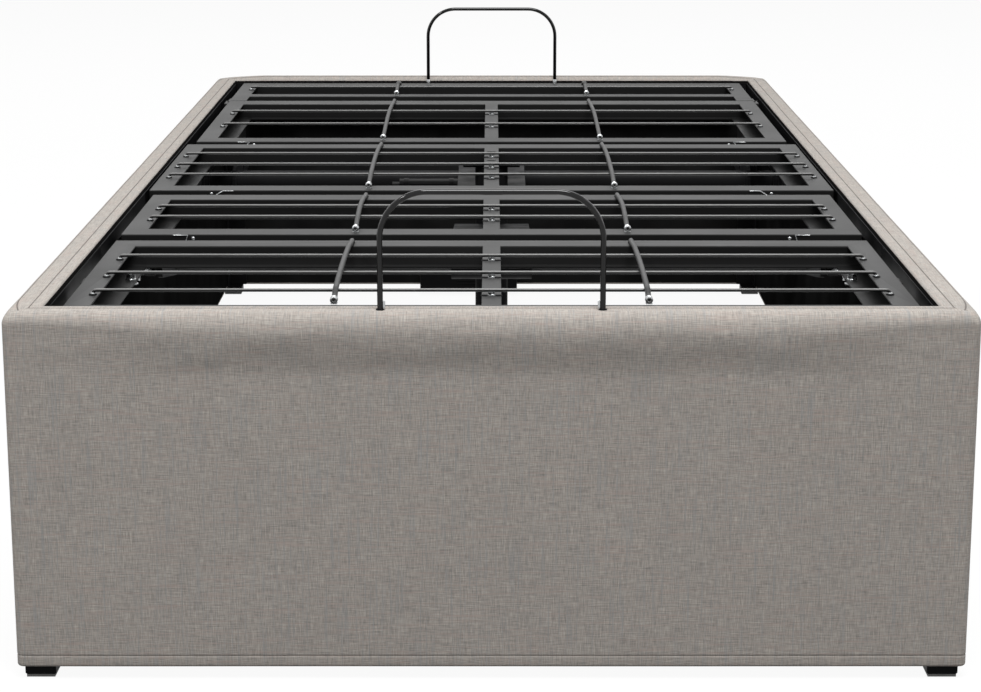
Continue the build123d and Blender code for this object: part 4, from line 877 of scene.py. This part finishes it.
# A 1.2 mm spring of bent zinc-plated wire keeps each hinge bolt from turning out. It lies along the edge
# of the next section's bar and runs down to the ears.
for name, body, face, hinge, reach in (
        ("knee", "thigh_section", -0.572, -0.5925, (0.410, 0.391, 0.393, 0.384)),
        ("seat", "base", -0.230, -0.249, (0.368, 0.383, 0.393, 0.399)),
        ("back", "back_section", 0.244, 0.229, (0.410, 0.391, 0.3975, 0.384))):
    front = face - 0.0006
    line = bpy.data.curves.new(name + "_hinge_spring", "CURVE")
    line.dimensions = "3D"
    line.bevel_depth, line.bevel_resolution, line.use_fill_caps = 0.0006, 3, True
    run = line.splines.new("POLY")
    points = [(reach[0], front, 0.4172), (reach[1], front, 0.4172), (reach[1] * 0.8 + reach[2] * 0.2, front, 0.4160),
              (reach[2], front, 0.4112), (reach[2], front - 0.0012, 0.4110), (reach[2], hinge, 0.4110)]
    run.points.add(len(points) - 1)
    for point, place in zip(run.points, points):
        point.co = (*place, 1)
    spring = bpy.data.objects.new(name + "_hinge_spring", line)
    bpy.context.scene.collection.objects.link(spring)
    activate(spring)
    bpy.ops.object.convert(target="MESH")
    spring = bpy.context.active_object
    bpy.ops.object.mode_set(mode="EDIT")
    bpy.ops.mesh.select_all(action="SELECT")
    bpy.ops.mesh.remove_doubles(threshold=0.00001)
    bpy.ops.mesh.normals_make_consistent(inside=False)
    bpy.ops.object.mode_set(mode="OBJECT")
    rivet = start_piece(name + "_spring_rivet", bpy.ops.mesh.primitive_cylinder_add, vertices=12, radius=0.0022,
                        depth=0.0016, rotation=(pi / 2, 0, 0), location=(reach[3], face - 0.0006, 0.4130))
    pick_faces(rivet, lambda middle, normal: normal.y < -0.9)
    bpy.ops.mesh.inset(thickness=0.0008)
    bpy.ops.transform.translate(value=(0, -0.0005, 0))
    round_edges(rivet, 0.0002)
    spring = join(name + "_hinge_springs", spring, rivet)
    repeat(spring, [(0, 0, 0), (0, 0, 0, "other side")])
    dress(spring, zinc, body, "zinc", angle=60)

coat(moulded, "feet", "tube_bushes", "back_rollers", "leg_rollers", "leg_drive", "back_drive",
     "drive_caps", "control_box")
fold("feet", "leg_drive", "back_drive", width=0.0012)

# Glides are pressed grey felt-filled rubber, paler than the feet above them.
rubber, tree, shader = start_material("Grey rubber", "#8e8e8d", 0.8)
spot = add(tree, "TexCoord").outputs["Object"]
chalk = add(tree, "TexNoise", {"Vector": spot, "Scale": 1 / 0.002, "Detail": 3.0}).outputs["Fac"]
tone = add(tree, "MixRGB", {"Fac": chalk, "Color1": linear("#848483"), "Color2": linear("#9a9a99")})
tree.links.new(tone.outputs["Color"], shader.inputs["Base Color"])
coat(rubber, "glides")

# Motor cases are turned and drawn steel, painted satin black.
motor_paint, tree, shader = start_material("Satin black paint on steel", "#121213", 0.45)
shader.inputs["Specular IOR Level"].default_value = 0.04
spot = add(tree, "TexCoord").outputs["Object"]
peel = add(tree, "TexNoise", {"Vector": spot, "Scale": 1 / 0.001, "Detail": 2.0}).outputs["Fac"]
raised = add(tree, "Bump", {"Height": peel, "Strength": 0.12, "Distance": 0.0002})
tree.links.new(raised.outputs["Normal"], shader.inputs["Normal"])
coat(motor_paint, "drive_motors")

# Each housing's halves are held by eight recessed screws a side, and a clamp band ties on its motor.
screw = start_piece("housing_screws", bpy.ops.mesh.primitive_cylinder_add, vertices=16, radius=0.0036,
                    depth=0.0016, rotation=(0, pi / 2, 0), location=(0.0556, 0, 0))
pick_faces(screw, lambda middle, normal: normal.x > 0.9)
bpy.ops.mesh.inset(thickness=0.0012)
bpy.ops.transform.translate(value=(0.0006, 0, 0))
bpy.ops.mesh.inset(thickness=0.0012)
bpy.ops.mesh.extrude_region_move(TRANSFORM_OT_translate={"value": (-0.0010, 0, 0)})
round_edges(screw, 0.00015)
places = ((-0.360, 0.3692), (-0.360, 0.3252), (-0.290, 0.352), (-0.290, 0.318), (-0.195, 0.341), (-0.195, 0.301),
          (-0.100, 0.335), (-0.100, 0.300), (0.432, 0.3449), (0.432, 0.3009), (0.375, 0.341), (0.375, 0.303),
          (0.342, 0.341), (0.342, 0.303), (0.243, 0.341), (0.243, 0.303))
repeat(screw, [(0, along, up, *side) for along, up in places for side in ((), ("other side",))])
dress(screw, chassis_coat, "base", "chassis_steel")

band = start_piece("motor_bands", bpy.ops.mesh.primitive_cylinder_add, vertices=40, radius=0.0272, depth=0.008,
                   rotation=(0, pi / 2, 0))
pick_faces(band, lambda middle, normal: abs(normal.x) > 0.9)
bpy.ops.mesh.inset(thickness=0.0005)
round_edges(band, 0.0002)
lug = start_piece("band_lug", bpy.ops.mesh.primitive_cube_add, size=1, scale=(0.008, 0.006, 0.008),
                  location=(0, 0, -0.0300))
pick_faces(lug, lambda middle, normal: normal.z < -0.9)
bpy.ops.mesh.inset(thickness=0.0012)
bpy.ops.transform.translate(value=(0, 0, -0.0006))
round_edges(lug, 0.0006)
band = join("motor_bands", band, lug)
repeat(band, [(0.066, -0.1507, 0.3172), (0.140, -0.1507, 0.3172), (-0.066, 0.2985, 0.3219), (-0.140, 0.2985, 0.3219)])
dress(band, moulded, "base", "black_plastic")

# The control box's lid is held by four screws, over five vents in its front.
screw = start_piece("lid_screws", bpy.ops.mesh.primitive_cylinder_add, vertices=16, radius=0.0030, depth=0.0014,
                    location=(0, 0, 0.0815))
pick_faces(screw, lambda middle, normal: normal.z > 0.9)
bpy.ops.mesh.inset(thickness=0.0010)
bpy.ops.transform.translate(value=(0, 0, 0.0005))
bpy.ops.mesh.inset(thickness=0.0010)
bpy.ops.mesh.extrude_region_move(TRANSFORM_OT_translate={"value": (0, 0, -0.0008)})
round_edges(screw, 0.00012)
repeat(screw, [(across, along, 0) for across in (-0.128, 0.038) for along in (1.0125, 1.0395)])
dress(screw, zinc, "base", "zinc")
vent = start_piece("box_vents", bpy.ops.mesh.primitive_cube_add, size=1, scale=(0.044, 0.0012, 0.0018),
                   location=(-0.045, 1.0016, 0))
pick_faces(vent, lambda middle, normal: normal.y < -0.9)
bpy.ops.mesh.inset(thickness=0.0004)
bpy.ops.transform.translate(value=(0, -0.0004, -0.0003))
round_edges(vent, 0.0002)
repeat(vent, [(0, 0, 0.026 + 0.006 * step) for step in range(5)])
dress(vent, moulded, "base", "black_plastic")

# Floor, light and camera. The floor and backdrop are plain white, as the photograph's are. A large soft
# lamp, high over the foot end, makes the bright rims and deck, and weaker ones fill the other sides.
bpy.ops.mesh.primitive_plane_add(size=60, location=(0, 0, -0.0002))
floor = bpy.context.active_object
floor.name = "floor"
paper, tree, shader = start_material("White paper sweep", "#6f6f6f", 0.9)
seen = add(tree, "LightPath")
tone = add(tree, "MixRGB", {"Fac": seen.outputs["Is Camera Ray"], "Color1": linear("#6a6a6a"),
                            "Color2": linear("#f0f0f0")})
tree.links.new(tone.outputs["Color"], shader.inputs["Base Color"])
either = add(tree, "Math", {0: seen.outputs["Is Camera Ray"], 1: seen.outputs["Is Glossy Ray"]},
             operation="MAXIMUM")
shown = add(tree, "Math", {0: either.outputs["Value"], 1: 0.93}, operation="MULTIPLY")
glow = add(tree, "Emission", {"Color": (1, 1, 1, 1), "Strength": 1.0})
mixed = add(tree, "MixShader", {0: shown.outputs["Value"], 1: shader.outputs["BSDF"],
                                2: glow.outputs["Emission"]})
tree.links.new(mixed.outputs["Shader"], tree.nodes["Material Output"].inputs["Surface"])
floor.data.materials.append(paper)

world = bpy.data.worlds.new("studio")
bpy.context.scene.world = world
world.use_nodes = True
tree = world.node_tree
seen = add(tree, "LightPath")
either = add(tree, "Math", {0: seen.outputs["Is Camera Ray"], 1: seen.outputs["Is Glossy Ray"]},
             operation="MAXIMUM")
level = add(tree, "MapRange", {"Value": either.outputs["Value"], "To Min": 0.28, "To Max": 1.0})
sky = tree.nodes["Background"]
sky.inputs["Color"].default_value = (1, 1, 1, 1)
tree.links.new(level.outputs["Result"], sky.inputs["Strength"])

for place, size, watts in (((0.4, -2.9, 5.5), 2.6, 354), ((-2.4, -2.8, 3.6), 0.45, 44), ((0, 4.6, 4.0), 4.5, 90),
                           ((-5.2, 0.3, 3.2), 4.5, 55), ((5.2, 0.3, 3.2), 4.5, 90)):
    aim = (Vector((0, 0, 0.25)) - Vector(place)).to_track_quat("-Z", "Y").to_euler()
    bpy.ops.object.light_add(type="AREA", location=place, rotation=aim)
    lamp = bpy.context.active_object
    lamp.data.size = size
    lamp.data.energy = watts

bpy.ops.object.camera_add(location=(0, -3.6205, 0.9881), rotation=(radians(90 - 13.2464), 0, 0))
camera = bpy.context.active_object
camera.data.lens = 88.32
camera.data.sensor_width = 36
camera.data.shift_x = -0.00102
bpy.context.scene.camera = camera
bpy.context.scene.view_settings.view_transform = "Standard"
